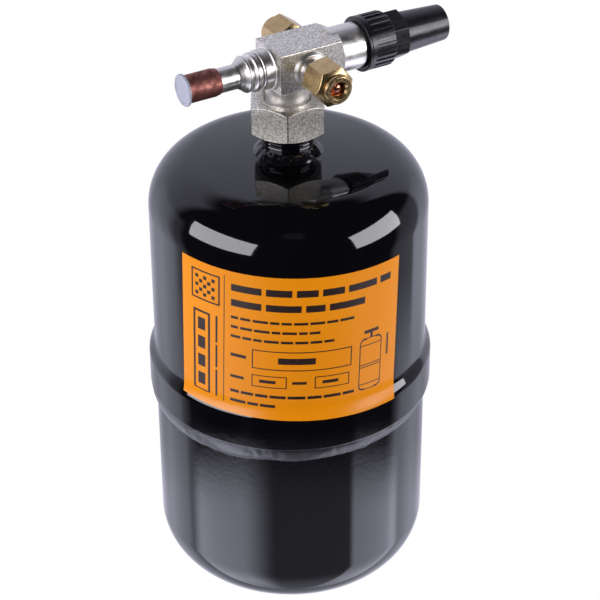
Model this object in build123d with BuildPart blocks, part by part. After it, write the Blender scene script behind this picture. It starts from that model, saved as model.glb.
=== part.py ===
from build123d import *

import os
from math import acos, asin, atan2, cos, pi, radians, sin, sqrt, tan

# Sizes in millimetres. Origin: centre of the pressed flat under the tank, +Z up.
# The valve axis runs along X, spindle towards +X and outlet tube towards -X.

# Tank shell
shell_d = 124.0
wall = 2.6
shell_h = 223.6
foot_d = 40.0
low_crown_r = 146.0
low_knuckle_r = 25.0
top_crown_r = 120.0
top_knuckle_r = 23.0

# Lap joint at mid height, the upper skirt is expanded over the lower cup
lap_clear = 0.1
skirt_full_z = 117.0
skirt_blend_h = 6.6
skirt_end_z = 101.6
girth_weld_h = 7.0

# Neck welded in the crown, its gasket and the tube hanging from it
neck_thread_d = 24.0
neck_spigot_d = 18.0
neck_rise = 13.0
neck_depth = 9.6
neck_bore_d = 10.4
neck_bore_l = 10.6
weld_w = 3.7
weld_h = 3.3
dip_d = 12.0
dip_wall = 1.0
dip_lift = 12.0
gasket_t = 1.0
gasket_bore_d = 14.0
gasket_d = 21.6

# Inlet stub on the crown behind the neck
inlet_r = 38.0
inlet_turn = 60.0
stub_d = 12.6
stub_l = 21.0
socket_d = 9.65
socket_depth = 10.0

# Label
label_arc = 104.3
label_h = 71.4
label_z = 153.9
label_t = 0.2
label_gap = 0.03
label_turn = -30.0
label_tilt = -1.9

# Valve block
axis_rise = 22.8
block_left = -9.3
block_corner_x = 20.4
block_right = 23.5
block_w = 21.6
block_h = 18.8
block_edge_r = 0.6
end_face_d = 18.4
collar_d = 22.8
collar_h = 3.0
tail_land_d = 19.6
tail_land_h = 4.0
tail_d = 18.4
tail_bore_d = 9.0

# Union nut
union_af = 31.5
union_lap = 8.1
union_h = 15.3
union_hole_d = 20.2

# Bores along the valve axis, by their start and end
front_seat_x = -4.0
back_seat_x = 9.0
passage_end_x = 13.0
thread_end_x = 28.0
chamber_d = 12.4
passage_d = 9.2
thread_bore_d = 12.0
box_d = 14.0

# Spindle side of the body
boss_d = 20.4
boss_end_x = 34.0
cap_thread_d = 19.2
body_end_x = 44.0

# Outlet side
ring_d = 19.6
ring_end_x = -10.6
hub_d = 17.8
hub_end_x = -15.5
groove_d = 15.2
groove_end_x = -16.4
flange_d = 17.0
flange_end_x = -18.5
waist_d = 14.4
waist_end_x = -20.4
bead_d = 16.0
bead_end_x = -22.4
taper_end_x = -25.2
tube_d = 10.6
tube_bore_d = 8.0
copper_start_x = -34.2
copper_end_x = -49.4
copper_d = 12.2
lap_l = 3.0
plug_disc_d = 14.0
plug_disc_t = 1.2
plug_insert_l = 8.5
plug_wall = 0.9

# Spindle, disc and packing
disc_d = 11.2
disc_l = 5.0
disc_rim = 0.8
tip_d = 3.9
tip_l = 3.4
stem_d = 7.0
stem_thread_x = 21.8
stem_thread_l = 6.0
square_af = 4.8
square_l = 10.0
stem_end_x = 66.0
washer_t = 1.0
packing_l = 5.8
gland_af = 12.0
gland_head = 4.0
gland_hex_turn = 15.0

# Spindle cap
cap_mouth_x = 34.8
cap_rim_d = 24.6
cap_rim_l = 0.9
cap_ring_d = 24.4
slot_start_x = 37.8
cap_ring_end_x = 48.8
slot_count = 28
slot_w = 1.5
slot_depth = 0.6
cap_hex_af = 19.7
cap_hex_l = 7.5
cap_hex_turn = 145.0
cap_nose_d = 18.4
cap_tip_d = 16.0
cap_end_x = 78.0
cap_tip_r = 3.0
cap_gasket_d = 18.8
cap_gasket_t = 1.1
cap_hollow_d = 14.8
cap_hollow_end_x = 50.0
cap_well_d = 10.0
cap_well_end_x = 73.0

# Flare ports and their nuts, distances from the valve axis outwards. The rear port and all
# on it sit closer to the axis by rear_port_cut.
front_port_x = 5.3
rear_port_x = 11.5
rear_port_cut = 2.5
port_land_d = 14.0
port_land_h = 1.2
port_sink = 2.0
port_thread_d = 11.0
port_thread_end = 28.0
port_tip_d = 5.2
port_tip_end = 30.0
front_bore_d = 4.4
rear_bore_d = 3.2
nut_start = 19.3
nut_hex_end = 31.6
nut_end = 34.1
nut_af = 15.8
nut_neck_d = 12.4
nut_collar_d = 14.2
nut_collar_t = 1.7
nut_hole_d = 6.8
front_hex_turn = 9.0
rear_hex_turn = -25.0
bonnet_t = 0.7
bonnet_end = 33.2
bonnet_flat_r = 0.5

# Clearances and the bevels of hexagons
running = 0.05
seat_gap = 0.05
thread_clear = 0.1
hex_corner_clear = 0.2
hex_land_inset = 0.25
hex_bevel = 30.0

os.makedirs("parts", exist_ok=True)

shell_r = shell_d / 2
skirt_r = shell_r + lap_clear + wall
skirt_start_z = skirt_full_z + skirt_blend_h
neck_top_z = shell_h + neck_rise
neck_depth_z = shell_h - neck_depth
union_low_z = neck_top_z - union_lap
axis_z = neck_top_z + axis_rise
low_centre_z = sqrt(low_crown_r**2 - (foot_d / 2) ** 2)
low_knuckle_x = shell_r - low_knuckle_r
low_knuckle_z = low_centre_z - sqrt((low_crown_r - low_knuckle_r) ** 2 - low_knuckle_x**2)
top_centre_z = shell_h - top_crown_r
top_knuckle_x = shell_r - top_knuckle_r
top_knuckle_z = top_centre_z + sqrt((top_crown_r - top_knuckle_r) ** 2 - top_knuckle_x**2)
valve_axis = Axis((0, 0, axis_z), (1, 0, 0))
valve_plane = Plane(origin=(0, 0, axis_z), x_dir=(1, 0, 0), z_dir=(0, -1, 0))
inlet_lean = asin(inlet_r / top_crown_r)
inlet_plane = Plane(
    origin=(
        inlet_r * cos(radians(inlet_turn)),
        inlet_r * sin(radians(inlet_turn)),
        top_centre_z + top_crown_r * cos(inlet_lean),
    ),
    x_dir=(-sin(radians(inlet_turn)), cos(radians(inlet_turn)), 0),
    z_dir=(
        sin(inlet_lean) * cos(radians(inlet_turn)),
        sin(inlet_lean) * sin(radians(inlet_turn)),
        cos(inlet_lean),
    ),
)


def save(piece, name):
    """Label a finished piece and write it to its file."""
    piece.part.label = name
    export_step(piece.part, "parts/" + name + ".step")


def arc_points(centre_x, centre_y, radius, start, end):
    """Three points along an arc, angles in radians."""
    angles = (start, (start + end) / 2, end)
    return [(centre_x + radius * cos(a), centre_y + radius * sin(a)) for a in angles]


def low_head(inset):
    """Crown and knuckle arcs of the lower head, moved inwards by inset."""
    tangent = atan2(low_knuckle_z - low_centre_z, low_knuckle_x)
    start = asin((inset - low_centre_z) / (low_crown_r - inset))
    crown = arc_points(0, low_centre_z, low_crown_r - inset, start, tangent)
    knuckle = arc_points(low_knuckle_x, low_knuckle_z, low_knuckle_r - inset, tangent, 0)
    return crown, knuckle


def top_head(inset, hole_r):
    """Crown and knuckle arcs of the upper head, from the neck hole outwards."""
    tangent = atan2(top_knuckle_z - top_centre_z, top_knuckle_x)
    start = acos(hole_r / (top_crown_r - inset))
    crown = arc_points(0, top_centre_z, top_crown_r - inset, start, tangent)
    knuckle = arc_points(top_knuckle_x, top_knuckle_z, top_knuckle_r - inset, tangent, 0)
    return crown, knuckle


def crown_drop(radius):
    """How far the crown surface lies below its own tangent plane."""
    return sqrt(top_crown_r**2 - radius**2) - top_crown_r


def turned(points, plane, axis):
    """Solid of revolution from a closed outline."""
    with BuildPart() as piece:
        with BuildSketch(plane):
            with BuildLine():
                Polyline(*points, close=True)
            make_face()
        revolve(axis=axis)
    return piece


def hex_bar(plane, across, length, turn, low_bevel, high_bevel):
    """Hexagonal bar with turned bevels at the chosen ends."""
    corner = across / sqrt(3) + hex_corner_clear
    land = across / 2 - hex_land_inset
    drop = (corner - land) * tan(radians(hex_bevel))
    outline = [(0, 0)]
    outline += [(land, 0), (corner, drop)] if low_bevel else [(corner, 0)]
    outline += [(corner, length - drop), (land, length)] if high_bevel else [(corner, length)]
    outline += [(0, length)]
    side = Plane(origin=plane.origin, x_dir=plane.x_dir, z_dir=-plane.y_dir)
    with BuildPart() as bar:
        with BuildSketch(plane):
            RegularPolygon(across / 2, 6, major_radius=False, rotation=turn)
        extrude(amount=length)
        with BuildSketch(side):
            with BuildLine():
                Polyline(*outline, close=True)
            make_face()
        revolve(axis=Axis(plane.origin, plane.z_dir), mode=Mode.INTERSECT)
    return bar.part


def cross_plane(x):
    """Plane across the valve axis, its normal towards the spindle."""
    return Plane(origin=(x, 0, axis_z), x_dir=(0, 1, 0), z_dir=(1, 0, 0))


# Lower cup, deep drawn with a pressed flat to stand on
lower_top_z = skirt_full_z - 0.5
with BuildPart() as lower_shell:
    with BuildSketch(Plane.XZ):
        outer_crown, outer_knuckle = low_head(0)
        inner_crown, inner_knuckle = low_head(wall)
        with BuildLine():
            Line((0, 0), outer_crown[0])
            ThreePointArc(*outer_crown)
            ThreePointArc(*outer_knuckle)
            Line(outer_knuckle[2], (shell_r, lower_top_z))
            Line((shell_r, lower_top_z), (shell_r - wall, lower_top_z))
            Line((shell_r - wall, lower_top_z), inner_knuckle[2])
            ThreePointArc(*inner_knuckle)
            ThreePointArc(*inner_crown)
            Line(inner_crown[0], (0, wall))
            Line((0, wall), (0, 0))
        make_face()
    revolve(axis=Axis.Z)
save(lower_shell, "lower_shell")

# Upper cup, its skirt expanded over the lower cup, pierced for neck and inlet
neck_hole_r = neck_spigot_d / 2 + lap_clear
with BuildPart() as upper_shell:
    with BuildSketch(Plane.XZ):
        outer_crown, outer_knuckle = top_head(0, neck_hole_r)
        inner_crown, inner_knuckle = top_head(wall, neck_hole_r)
        down = ((0, -1), (0, -1))
        with BuildLine():
            ThreePointArc(*outer_crown)
            ThreePointArc(*outer_knuckle)
            Line(outer_knuckle[2], (shell_r, skirt_start_z))
            Spline((shell_r, skirt_start_z), (skirt_r, skirt_full_z), tangents=down)
            Line((skirt_r, skirt_full_z), (skirt_r, skirt_end_z))
            Line((skirt_r, skirt_end_z), (skirt_r - wall, skirt_end_z))
            Line((skirt_r - wall, skirt_end_z), (skirt_r - wall, skirt_full_z))
            Spline(
                (shell_r - wall, skirt_start_z),
                (skirt_r - wall, skirt_full_z),
                tangents=down,
            )
            Line((shell_r - wall, skirt_start_z), inner_knuckle[2])
            ThreePointArc(*inner_knuckle)
            ThreePointArc(*inner_crown)
            Line(inner_crown[0], outer_crown[0])
        make_face()
    revolve(axis=Axis.Z)
    with BuildSketch(inlet_plane.offset(-4 * wall)):
        Circle(stub_d / 2 + lap_clear)
    extrude(amount=8 * wall, mode=Mode.SUBTRACT)
save(upper_shell, "upper_shell")

# Fillet weld under the skirt edge
with BuildPart() as girth_weld:
    with BuildSketch(Plane.XZ):
        weld_low_z = skirt_end_z - girth_weld_h
        weld_mid = (shell_r + 0.7 * (skirt_r - shell_r), weld_low_z + 0.36 * girth_weld_h)
        with BuildLine():
            ThreePointArc((shell_r, weld_low_z), weld_mid, (skirt_r, skirt_end_z))
            Line((skirt_r, skirt_end_z), (shell_r, skirt_end_z))
            Line((shell_r, skirt_end_z), (shell_r, weld_low_z))
        make_face()
    revolve(axis=Axis.Z)
save(girth_weld, "girth_weld")

# Neck with its outside thread shown as a plain cylinder
neck_r = neck_thread_d / 2
neck_shoulder_z = shell_h + crown_drop(neck_hole_r) + seat_gap
dip_seat_z = neck_top_z - neck_bore_l
outlet_neck = turned(
    [
        (neck_bore_d / 2, neck_top_z),
        (neck_r - 1.0, neck_top_z),
        (neck_r, neck_top_z - 1.0),
        (neck_r, neck_shoulder_z),
        (neck_spigot_d / 2, neck_shoulder_z),
        (neck_spigot_d / 2, neck_depth_z),
        (dip_d / 2 + running, neck_depth_z),
        (dip_d / 2 + running, dip_seat_z),
        (neck_bore_d / 2, dip_seat_z),
    ],
    Plane.XZ,
    Axis.Z,
)
save(outlet_neck, "outlet_neck")

# Tube that draws the liquid from the bottom of the tank, cut oblique at its foot
with BuildPart() as dip_tube:
    with BuildSketch(Plane.XY.offset(dip_lift)):
        Circle(dip_d / 2)
        Circle(dip_d / 2 - dip_wall, mode=Mode.SUBTRACT)
    extrude(amount=dip_seat_z - dip_lift)
    with BuildSketch(Plane.XZ):
        with BuildLine():
            Polyline(
                (-dip_d, dip_lift - 1),
                (dip_d, dip_lift - 1),
                (dip_d, dip_lift + 1.5 * dip_d),
                close=True,
            )
        make_face()
    extrude(amount=dip_d, both=True, mode=Mode.SUBTRACT)
save(dip_tube, "dip_tube")

# Inlet stub with a socket for a pipe brazed into it, normal to the crown
inlet_axis = Axis(inlet_plane.origin, inlet_plane.z_dir)
inlet_section = Plane(
    origin=inlet_plane.origin,
    x_dir=inlet_plane.x_dir,
    z_dir=-inlet_plane.y_dir,
)
inlet_stub = turned(
    [
        (tube_bore_d / 2, -2 * wall),
        (stub_d / 2, -2 * wall),
        (stub_d / 2, stub_l - 0.6),
        (stub_d / 2 - 0.6, stub_l),
        (socket_d / 2, stub_l),
        (socket_d / 2, stub_l - socket_depth),
        (tube_bore_d / 2, stub_l - socket_depth),
    ],
    inlet_section,
    inlet_axis,
)
save(inlet_stub, "inlet_stub")


def weld_ring(section, axis, inner_r):
    """Ring bead lying on the crown round a fitting."""
    outer_r = inner_r + weld_w
    middle_r = inner_r + weld_w / 2
    with BuildPart() as ring:
        with BuildSketch(section):
            with BuildLine():
                Line((inner_r, crown_drop(inner_r)), (inner_r, weld_h))
                ThreePointArc(
                    (inner_r, weld_h),
                    (inner_r + 0.66 * weld_w, 0.58 * weld_h),
                    (outer_r, crown_drop(outer_r)),
                )
                ThreePointArc(
                    (outer_r, crown_drop(outer_r)),
                    (middle_r, crown_drop(middle_r)),
                    (inner_r, crown_drop(inner_r)),
                )
            make_face()
        revolve(axis=axis)
    return ring


neck_weld = weld_ring(Plane.XZ.shift_origin((0, 0, shell_h)), Axis.Z, neck_r)
save(neck_weld, "neck_weld")
inlet_weld = weld_ring(inlet_section, inlet_axis, stub_d / 2)
save(inlet_weld, "inlet_weld")

# Paper label, a thin sheet that follows the shell
with BuildPart() as label:
    with BuildSketch(Plane.XZ):
        with BuildLine():
            near = shell_r + label_gap
            swell = skirt_r + label_gap
            Spline((near, skirt_start_z), (swell, skirt_full_z), tangents=down)
            Line((swell, skirt_full_z), (swell + label_t, skirt_full_z))
            Spline(
                (near + label_t, skirt_start_z),
                (swell + label_t, skirt_full_z),
                tangents=down,
            )
            Line((near + label_t, skirt_start_z), (near + label_t, top_knuckle_z))
            Line((near + label_t, top_knuckle_z), (near, top_knuckle_z))
            Line((near, top_knuckle_z), (near, skirt_start_z))
        make_face()
    revolve(axis=Axis.Z)
    facing = radians(label_turn)
    outward = Plane(
        origin=(0, 0, label_z),
        x_dir=(cos(facing), sin(facing), 0),
        z_dir=(sin(facing), -cos(facing), 0),
    )
    with BuildSketch(outward):
        label_chord = 2 * shell_r * sin(label_arc / 2 / shell_r)
        Rectangle(label_chord, label_h, rotation=label_tilt)
    extrude(amount=shell_d, mode=Mode.INTERSECT)
save(label, "label")

# Gasket between the neck and the valve tail
collar_z = neck_top_z + gasket_t
neck_gasket = turned(
    [
        (gasket_bore_d / 2, neck_top_z),
        (gasket_d / 2, neck_top_z),
        (gasket_d / 2, collar_z),
        (gasket_bore_d / 2, collar_z),
    ],
    Plane.XZ,
    Axis.Z,
)
save(neck_gasket, "neck_gasket")

# Union nut that draws the tail down on the gasket
collar_top_z = collar_z + collar_h
with BuildPart() as union_nut:
    add(hex_bar(Plane.XY.offset(union_low_z), union_af, union_h, 0, True, True))
    with BuildSketch(Plane.XY.offset(union_low_z)):
        Circle(neck_r + thread_clear)
    extrude(amount=collar_top_z + seat_gap - union_low_z, mode=Mode.SUBTRACT)
    with BuildSketch(Plane.XY.offset(union_low_z)):
        Circle(union_hole_d / 2)
    extrude(amount=union_h, mode=Mode.SUBTRACT)
save(union_nut, "union_nut")


def port_section(x, side, cut):
    """Section plane and axis of a flare port, outwards, set back by cut."""
    section = Plane(origin=(x, -side * cut, axis_z), x_dir=(0, side, 0), z_dir=(side, 0, 0))
    return section, Axis((x, 0, axis_z), (0, side, 0))


def flare_port(x, side, cut):
    """Threaded flare port with its coned tip."""
    section, axis = port_section(x, side, cut)
    thread_r = port_thread_d / 2
    face = block_w / 2 + cut
    with BuildPart() as port:
        with BuildSketch(section):
            with BuildLine():
                Polyline(
                    (face - port_sink, 0),
                    (face - port_sink, port_land_d / 2),
                    (face + port_land_h, port_land_d / 2),
                    (face + port_land_h, thread_r),
                    (port_thread_end - 0.8, thread_r),
                    (port_thread_end, thread_r - 0.8),
                    (port_tip_end, port_tip_d / 2),
                    (port_tip_end, 0),
                    close=True,
                )
            make_face()
        revolve(axis=axis)
    return port.part


def port_drill(x, side, bore_d):
    """Cylinder that bores a flare port as far as the valve axis."""
    with BuildPart() as drill:
        with BuildSketch(Plane(origin=(x, 0, axis_z), x_dir=(1, 0, 0), z_dir=(0, side, 0))):
            Circle(bore_d / 2)
        extrude(amount=port_tip_end)
    return drill.part


# Forged valve body: block, tail, outlet hub, spindle boss and two flare ports
with BuildPart() as valve_body:
    with BuildSketch(cross_plane(block_left)):
        RectangleRounded(block_w, block_h, block_edge_r)
    extrude(amount=block_right - block_left)
    corner_r = sqrt(block_w**2 + block_h**2) / 2
    bevel = (block_right - block_corner_x) / (corner_r - end_face_d / 2)
    with BuildSketch(valve_plane):
        with BuildLine():
            Polyline(
                (block_left, 0),
                (block_left, corner_r - 0.3),
                (block_left + 0.8, corner_r + 0.5),
                (block_corner_x - 0.5 * bevel, corner_r + 0.5),
                (block_right, end_face_d / 2),
                (block_right, 0),
                close=True,
            )
        make_face()
    revolve(axis=valve_axis, mode=Mode.INTERSECT)
    with BuildSketch(valve_plane):
        with BuildLine():
            Polyline(
                (block_left + 1, 0),
                (block_left + 1, ring_d / 2),
                (ring_end_x + 0.3, ring_d / 2),
                (ring_end_x, ring_d / 2 - 0.3),
                (ring_end_x, hub_d / 2),
                (hub_end_x + 0.6, hub_d / 2),
                (hub_end_x, hub_d / 2 - 0.6),
                (hub_end_x, 0),
                close=True,
            )
        make_face()
    revolve(axis=valve_axis)
    with BuildSketch(valve_plane):
        with BuildLine():
            Polyline(
                (block_right - 2, 0),
                (block_right - 2, end_face_d / 2),
                (block_right + 1, end_face_d / 2),
                (block_right + 2, boss_d / 2),
                (boss_end_x, boss_d / 2),
                (boss_end_x, cap_thread_d / 2),
                (body_end_x - 0.8, cap_thread_d / 2),
                (body_end_x, cap_thread_d / 2 - 0.8),
                (body_end_x, 0),
                close=True,
            )
        make_face()
    revolve(axis=valve_axis)
    with BuildSketch(Plane.XZ):
        with BuildLine():
            Polyline(
                (0, collar_z),
                (collar_d / 2, collar_z),
                (collar_d / 2, collar_top_z),
                (tail_land_d / 2, collar_top_z),
                (tail_land_d / 2, collar_top_z + tail_land_h),
                (tail_d / 2, collar_top_z + tail_land_h + 0.3),
                (tail_d / 2, axis_z - block_h / 2 + 1),
                (0, axis_z - block_h / 2 + 1),
                close=True,
            )
        make_face()
    revolve(axis=Axis.Z)
    add(flare_port(front_port_x, -1, 0))
    add(flare_port(rear_port_x, 1, rear_port_cut))
    with BuildSketch(valve_plane):
        with BuildLine():
            Polyline(
                (hub_end_x, 0),
                (hub_end_x, chamber_d / 2),
                (back_seat_x, chamber_d / 2),
                (back_seat_x, passage_d / 2),
                (passage_end_x, passage_d / 2),
                (passage_end_x, thread_bore_d / 2),
                (thread_end_x, thread_bore_d / 2),
                (thread_end_x, box_d / 2),
                (body_end_x, box_d / 2),
                (body_end_x, 0),
                close=True,
            )
        make_face()
    revolve(axis=valve_axis, mode=Mode.SUBTRACT)
    with BuildSketch(Plane.XY.offset(collar_z)):
        Circle(tail_bore_d / 2)
    extrude(amount=axis_z - collar_z, mode=Mode.SUBTRACT)
    add(port_drill(front_port_x, -1, front_bore_d), mode=Mode.SUBTRACT)
    add(port_drill(rear_port_x, 1, rear_bore_d), mode=Mode.SUBTRACT)
save(valve_body, "valve_body")

# Outlet nipple, its spigot forms the front seat inside the body
bead_x = (waist_end_x + bead_end_x) / 2
with BuildPart() as outlet_nipple:
    with BuildSketch(valve_plane):
        with BuildLine():
            Polyline(
                (front_seat_x, tube_bore_d / 2),
                (front_seat_x, chamber_d / 2 - running),
                (hub_end_x, chamber_d / 2 - running),
                (hub_end_x, groove_d / 2),
                (groove_end_x, groove_d / 2),
                (groove_end_x, flange_d / 2),
                (flange_end_x, flange_d / 2),
                (flange_end_x - 0.4, waist_d / 2),
                (waist_end_x, waist_d / 2),
            )
            ThreePointArc((waist_end_x, waist_d / 2), (bead_x, bead_d / 2), (bead_end_x, waist_d / 2))
            Spline(
                (bead_end_x, waist_d / 2),
                (taper_end_x, tube_d / 2),
                tangents=((-0.6, -1), (-1, 0)),
            )
            Polyline(
                (taper_end_x, tube_d / 2),
                (copper_start_x - lap_l, tube_d / 2),
                (copper_start_x - lap_l, tube_bore_d / 2),
                (front_seat_x, tube_bore_d / 2),
            )
        make_face()
    revolve(axis=valve_axis)
save(outlet_nipple, "outlet_nipple")

# Copper tube end with a socket for a pipe brazed into it
lap_end_x = copper_start_x - lap_l - seat_gap
outlet_tube = turned(
    [
        (copper_start_x, tube_d / 2 + running),
        (copper_start_x, tube_d / 2 + 0.3),
        (copper_start_x - 2.0, copper_d / 2),
        (copper_end_x, copper_d / 2),
        (copper_end_x, socket_d / 2),
        (copper_end_x + socket_depth, socket_d / 2),
        (copper_end_x + socket_depth, tube_bore_d / 2),
        (lap_end_x, tube_bore_d / 2),
        (lap_end_x, tube_d / 2 + running),
    ],
    valve_plane,
    valve_axis,
)
save(outlet_tube, "outlet_tube")

# Transport plug pushed into the socket
plug_seat_x = copper_end_x - seat_gap
plug_face_x = plug_seat_x - plug_disc_t
insert_r = socket_d / 2 - running
transport_plug = turned(
    [
        (plug_seat_x, 0),
        (plug_seat_x, insert_r - plug_wall),
        (plug_seat_x + plug_insert_l, insert_r - plug_wall),
        (plug_seat_x + plug_insert_l, insert_r - 0.3),
        (plug_seat_x + plug_insert_l - 1.0, insert_r),
        (plug_seat_x, insert_r),
        (plug_seat_x, plug_disc_d / 2),
        (plug_face_x + 0.3, plug_disc_d / 2),
        (plug_face_x, plug_disc_d / 2 - 0.3),
        (plug_face_x, insert_r - 0.6),
        (plug_face_x + 0.3, insert_r - 0.9),
        (plug_face_x + 0.3, 0),
    ],
    valve_plane,
    valve_axis,
)
save(transport_plug, "transport_plug")

# Valve disc at the back seat, where the spindle stands as delivered
disc_back_x = back_seat_x - 2 * seat_gap
disc_front_x = disc_back_x - disc_l
disc_r = disc_d / 2
valve_disc = turned(
    [
        (disc_front_x, 0),
        (disc_front_x, disc_r - disc_rim),
        (disc_front_x + disc_rim, disc_r),
        (disc_back_x - disc_rim, disc_r),
        (disc_back_x, disc_r - disc_rim),
        (disc_back_x, tip_d / 2 + running),
        (disc_back_x - tip_l - seat_gap, tip_d / 2 + running),
        (disc_back_x - tip_l - seat_gap, 0),
    ],
    valve_plane,
    valve_axis,
)
save(valve_disc, "valve_disc")

# Spindle with its threaded collar and a square end for the service key
stem_start_x = disc_back_x + seat_gap
stem_thread_r = thread_bore_d / 2 - thread_clear
with BuildPart() as stem:
    with BuildSketch(valve_plane):
        with BuildLine():
            Polyline(
                (disc_back_x - tip_l, 0),
                (disc_back_x - tip_l, tip_d / 2),
                (stem_start_x, tip_d / 2),
                (stem_start_x, stem_d / 2),
                (stem_thread_x, stem_d / 2),
                (stem_thread_x, stem_thread_r),
                (stem_thread_x + stem_thread_l, stem_thread_r),
                (stem_thread_x + stem_thread_l, stem_d / 2),
                (stem_end_x - square_l, stem_d / 2),
                (stem_end_x - square_l, 0),
                close=True,
            )
        make_face()
    revolve(axis=valve_axis)
    with BuildSketch(cross_plane(stem_end_x - square_l)):
        Rectangle(square_af, square_af)
    extrude(amount=square_l)
save(stem, "stem")

# Stuffing box: washer, packing rings and gland nut
packing_r = box_d / 2 - thread_clear
washer_x = thread_end_x + seat_gap
packing_washer = turned(
    [
        (washer_x, stem_d / 2 + thread_clear),
        (washer_x, packing_r),
        (washer_x + washer_t, packing_r),
        (washer_x + washer_t, stem_d / 2 + thread_clear),
    ],
    valve_plane,
    valve_axis,
)
save(packing_washer, "packing_washer")
packing_x = washer_x + washer_t + seat_gap
gland_packing = turned(
    [
        (packing_x, stem_d / 2 + running),
        (packing_x, packing_r),
        (packing_x + packing_l, packing_r),
        (packing_x + packing_l, stem_d / 2 + running),
    ],
    valve_plane,
    valve_axis,
)
save(gland_packing, "gland_packing")
gland_x = packing_x + packing_l + seat_gap
with BuildPart() as gland_nut:
    add(hex_bar(cross_plane(body_end_x + seat_gap), gland_af, gland_head, gland_hex_turn, False, True))
    with BuildSketch(cross_plane(gland_x)):
        Circle(packing_r)
    extrude(amount=body_end_x + seat_gap - gland_x)
    with BuildSketch(cross_plane(gland_x)):
        Circle(stem_d / 2 + thread_clear)
    extrude(amount=body_end_x + gland_head + 1 - gland_x, mode=Mode.SUBTRACT)
save(gland_nut, "gland_nut")

# Gasket inside the spindle cap
cap_gasket_x = body_end_x + seat_gap
cap_seat_x = cap_gasket_x + cap_gasket_t + seat_gap
cap_gasket = turned(
    [
        (cap_gasket_x, cap_hollow_d / 2),
        (cap_gasket_x, cap_gasket_d / 2),
        (cap_gasket_x + cap_gasket_t, cap_gasket_d / 2),
        (cap_gasket_x + cap_gasket_t, cap_hollow_d / 2),
    ],
    valve_plane,
    valve_axis,
)
save(cap_gasket, "cap_gasket")

# Spindle cap: slotted ring, hexagon and tapered end, hollow over the spindle
cap_hex_end_x = cap_ring_end_x + cap_hex_l
slot_l = cap_ring_end_x - slot_start_x + 1
slot_planes = []
for slot in range(slot_count):
    angle = 2 * pi * slot / slot_count
    radial = (0, cos(angle), sin(angle))
    slot_planes.append(
        Plane(
            origin=(
                slot_start_x + slot_l / 2,
                cap_ring_d / 2 * radial[1],
                axis_z + cap_ring_d / 2 * radial[2],
            ),
            x_dir=(1, 0, 0),
            z_dir=radial,
        )
    )
with BuildPart() as spindle_cap:
    hex_plane = cross_plane(cap_ring_end_x - 0.5)
    add(hex_bar(hex_plane, cap_hex_af, cap_hex_l + 0.5, cap_hex_turn, False, True))
    with BuildSketch(valve_plane):
        with BuildLine():
            Polyline(
                (cap_hex_end_x - 1, 0),
                (cap_hex_end_x - 1, cap_nose_d / 2),
                (cap_hex_end_x, cap_nose_d / 2),
                (cap_end_x, cap_tip_d / 2),
                (cap_end_x, 0),
                close=True,
            )
        make_face()
    revolve(axis=valve_axis)
    fillet(spindle_cap.edges().filter_by(GeomType.CIRCLE).sort_by(Axis.X)[-1], cap_tip_r)
    with BuildSketch(valve_plane):
        with BuildLine():
            Polyline(
                (cap_mouth_x, 0),
                (cap_mouth_x, cap_rim_d / 2 - 0.3),
                (cap_mouth_x + 0.3, cap_rim_d / 2),
                (cap_mouth_x + cap_rim_l, cap_rim_d / 2),
                (cap_mouth_x + cap_rim_l, cap_ring_d / 2),
                (cap_ring_end_x - 0.5, cap_ring_d / 2),
                (cap_ring_end_x, cap_ring_d / 2 - 0.5),
                (cap_ring_end_x, 0),
                close=True,
            )
        make_face()
    revolve(axis=valve_axis)
    with BuildSketch(*slot_planes):
        SlotOverall(slot_l, slot_w)
    extrude(amount=-slot_depth, mode=Mode.SUBTRACT)
    with BuildSketch(valve_plane):
        with BuildLine():
            Polyline(
                (cap_mouth_x, 0),
                (cap_mouth_x, cap_thread_d / 2 + thread_clear),
                (cap_seat_x, cap_thread_d / 2 + thread_clear),
                (cap_seat_x, cap_hollow_d / 2),
                (cap_hollow_end_x, cap_hollow_d / 2),
                (cap_hollow_end_x, cap_well_d / 2),
                (cap_well_end_x, cap_well_d / 2),
                (cap_well_end_x, 0),
                close=True,
            )
        make_face()
    revolve(axis=valve_axis, mode=Mode.SUBTRACT)
save(spindle_cap, "spindle_cap")


def flare_bonnet(x, side, cut):
    """Copper bonnet that closes a flare port under its nut."""
    section, axis = port_section(x, side, cut)
    gap = running * sqrt(2)
    rim_r = port_thread_d / 2 - 1.2
    tip_r = port_tip_d / 2
    hole_r = nut_hole_d / 2 - running
    rim = port_thread_end + (port_thread_d / 2 - 0.8 - rim_r) + gap
    tip = port_tip_end + gap
    dome_x = bonnet_end - hole_r + bonnet_t
    well_x = bonnet_end - bonnet_t
    with BuildPart() as bonnet:
        with BuildSketch(section):
            with BuildLine():
                Line((well_x, 0), (well_x, bonnet_flat_r))
                ThreePointArc(
                    (well_x, bonnet_flat_r),
                    (tip + (well_x - tip) * sin(pi / 4), tip_r * cos(pi / 4) + 0.1),
                    (tip, tip_r),
                )
                Polyline(
                    (tip, tip_r),
                    (rim, rim_r),
                    (rim + bonnet_t * sqrt(2), rim_r),
                    (tip + bonnet_t * sqrt(2) - (hole_r - tip_r), hole_r),
                    (dome_x, hole_r),
                )
                ThreePointArc(
                    (dome_x, hole_r),
                    (dome_x + (bonnet_end - dome_x) * sin(pi / 4), hole_r * cos(pi / 4) + 0.1),
                    (bonnet_end, bonnet_flat_r),
                )
                Line((bonnet_end, bonnet_flat_r), (bonnet_end, 0))
                Line((bonnet_end, 0), (well_x, 0))
            make_face()
        revolve(axis=axis)
    return bonnet


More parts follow.
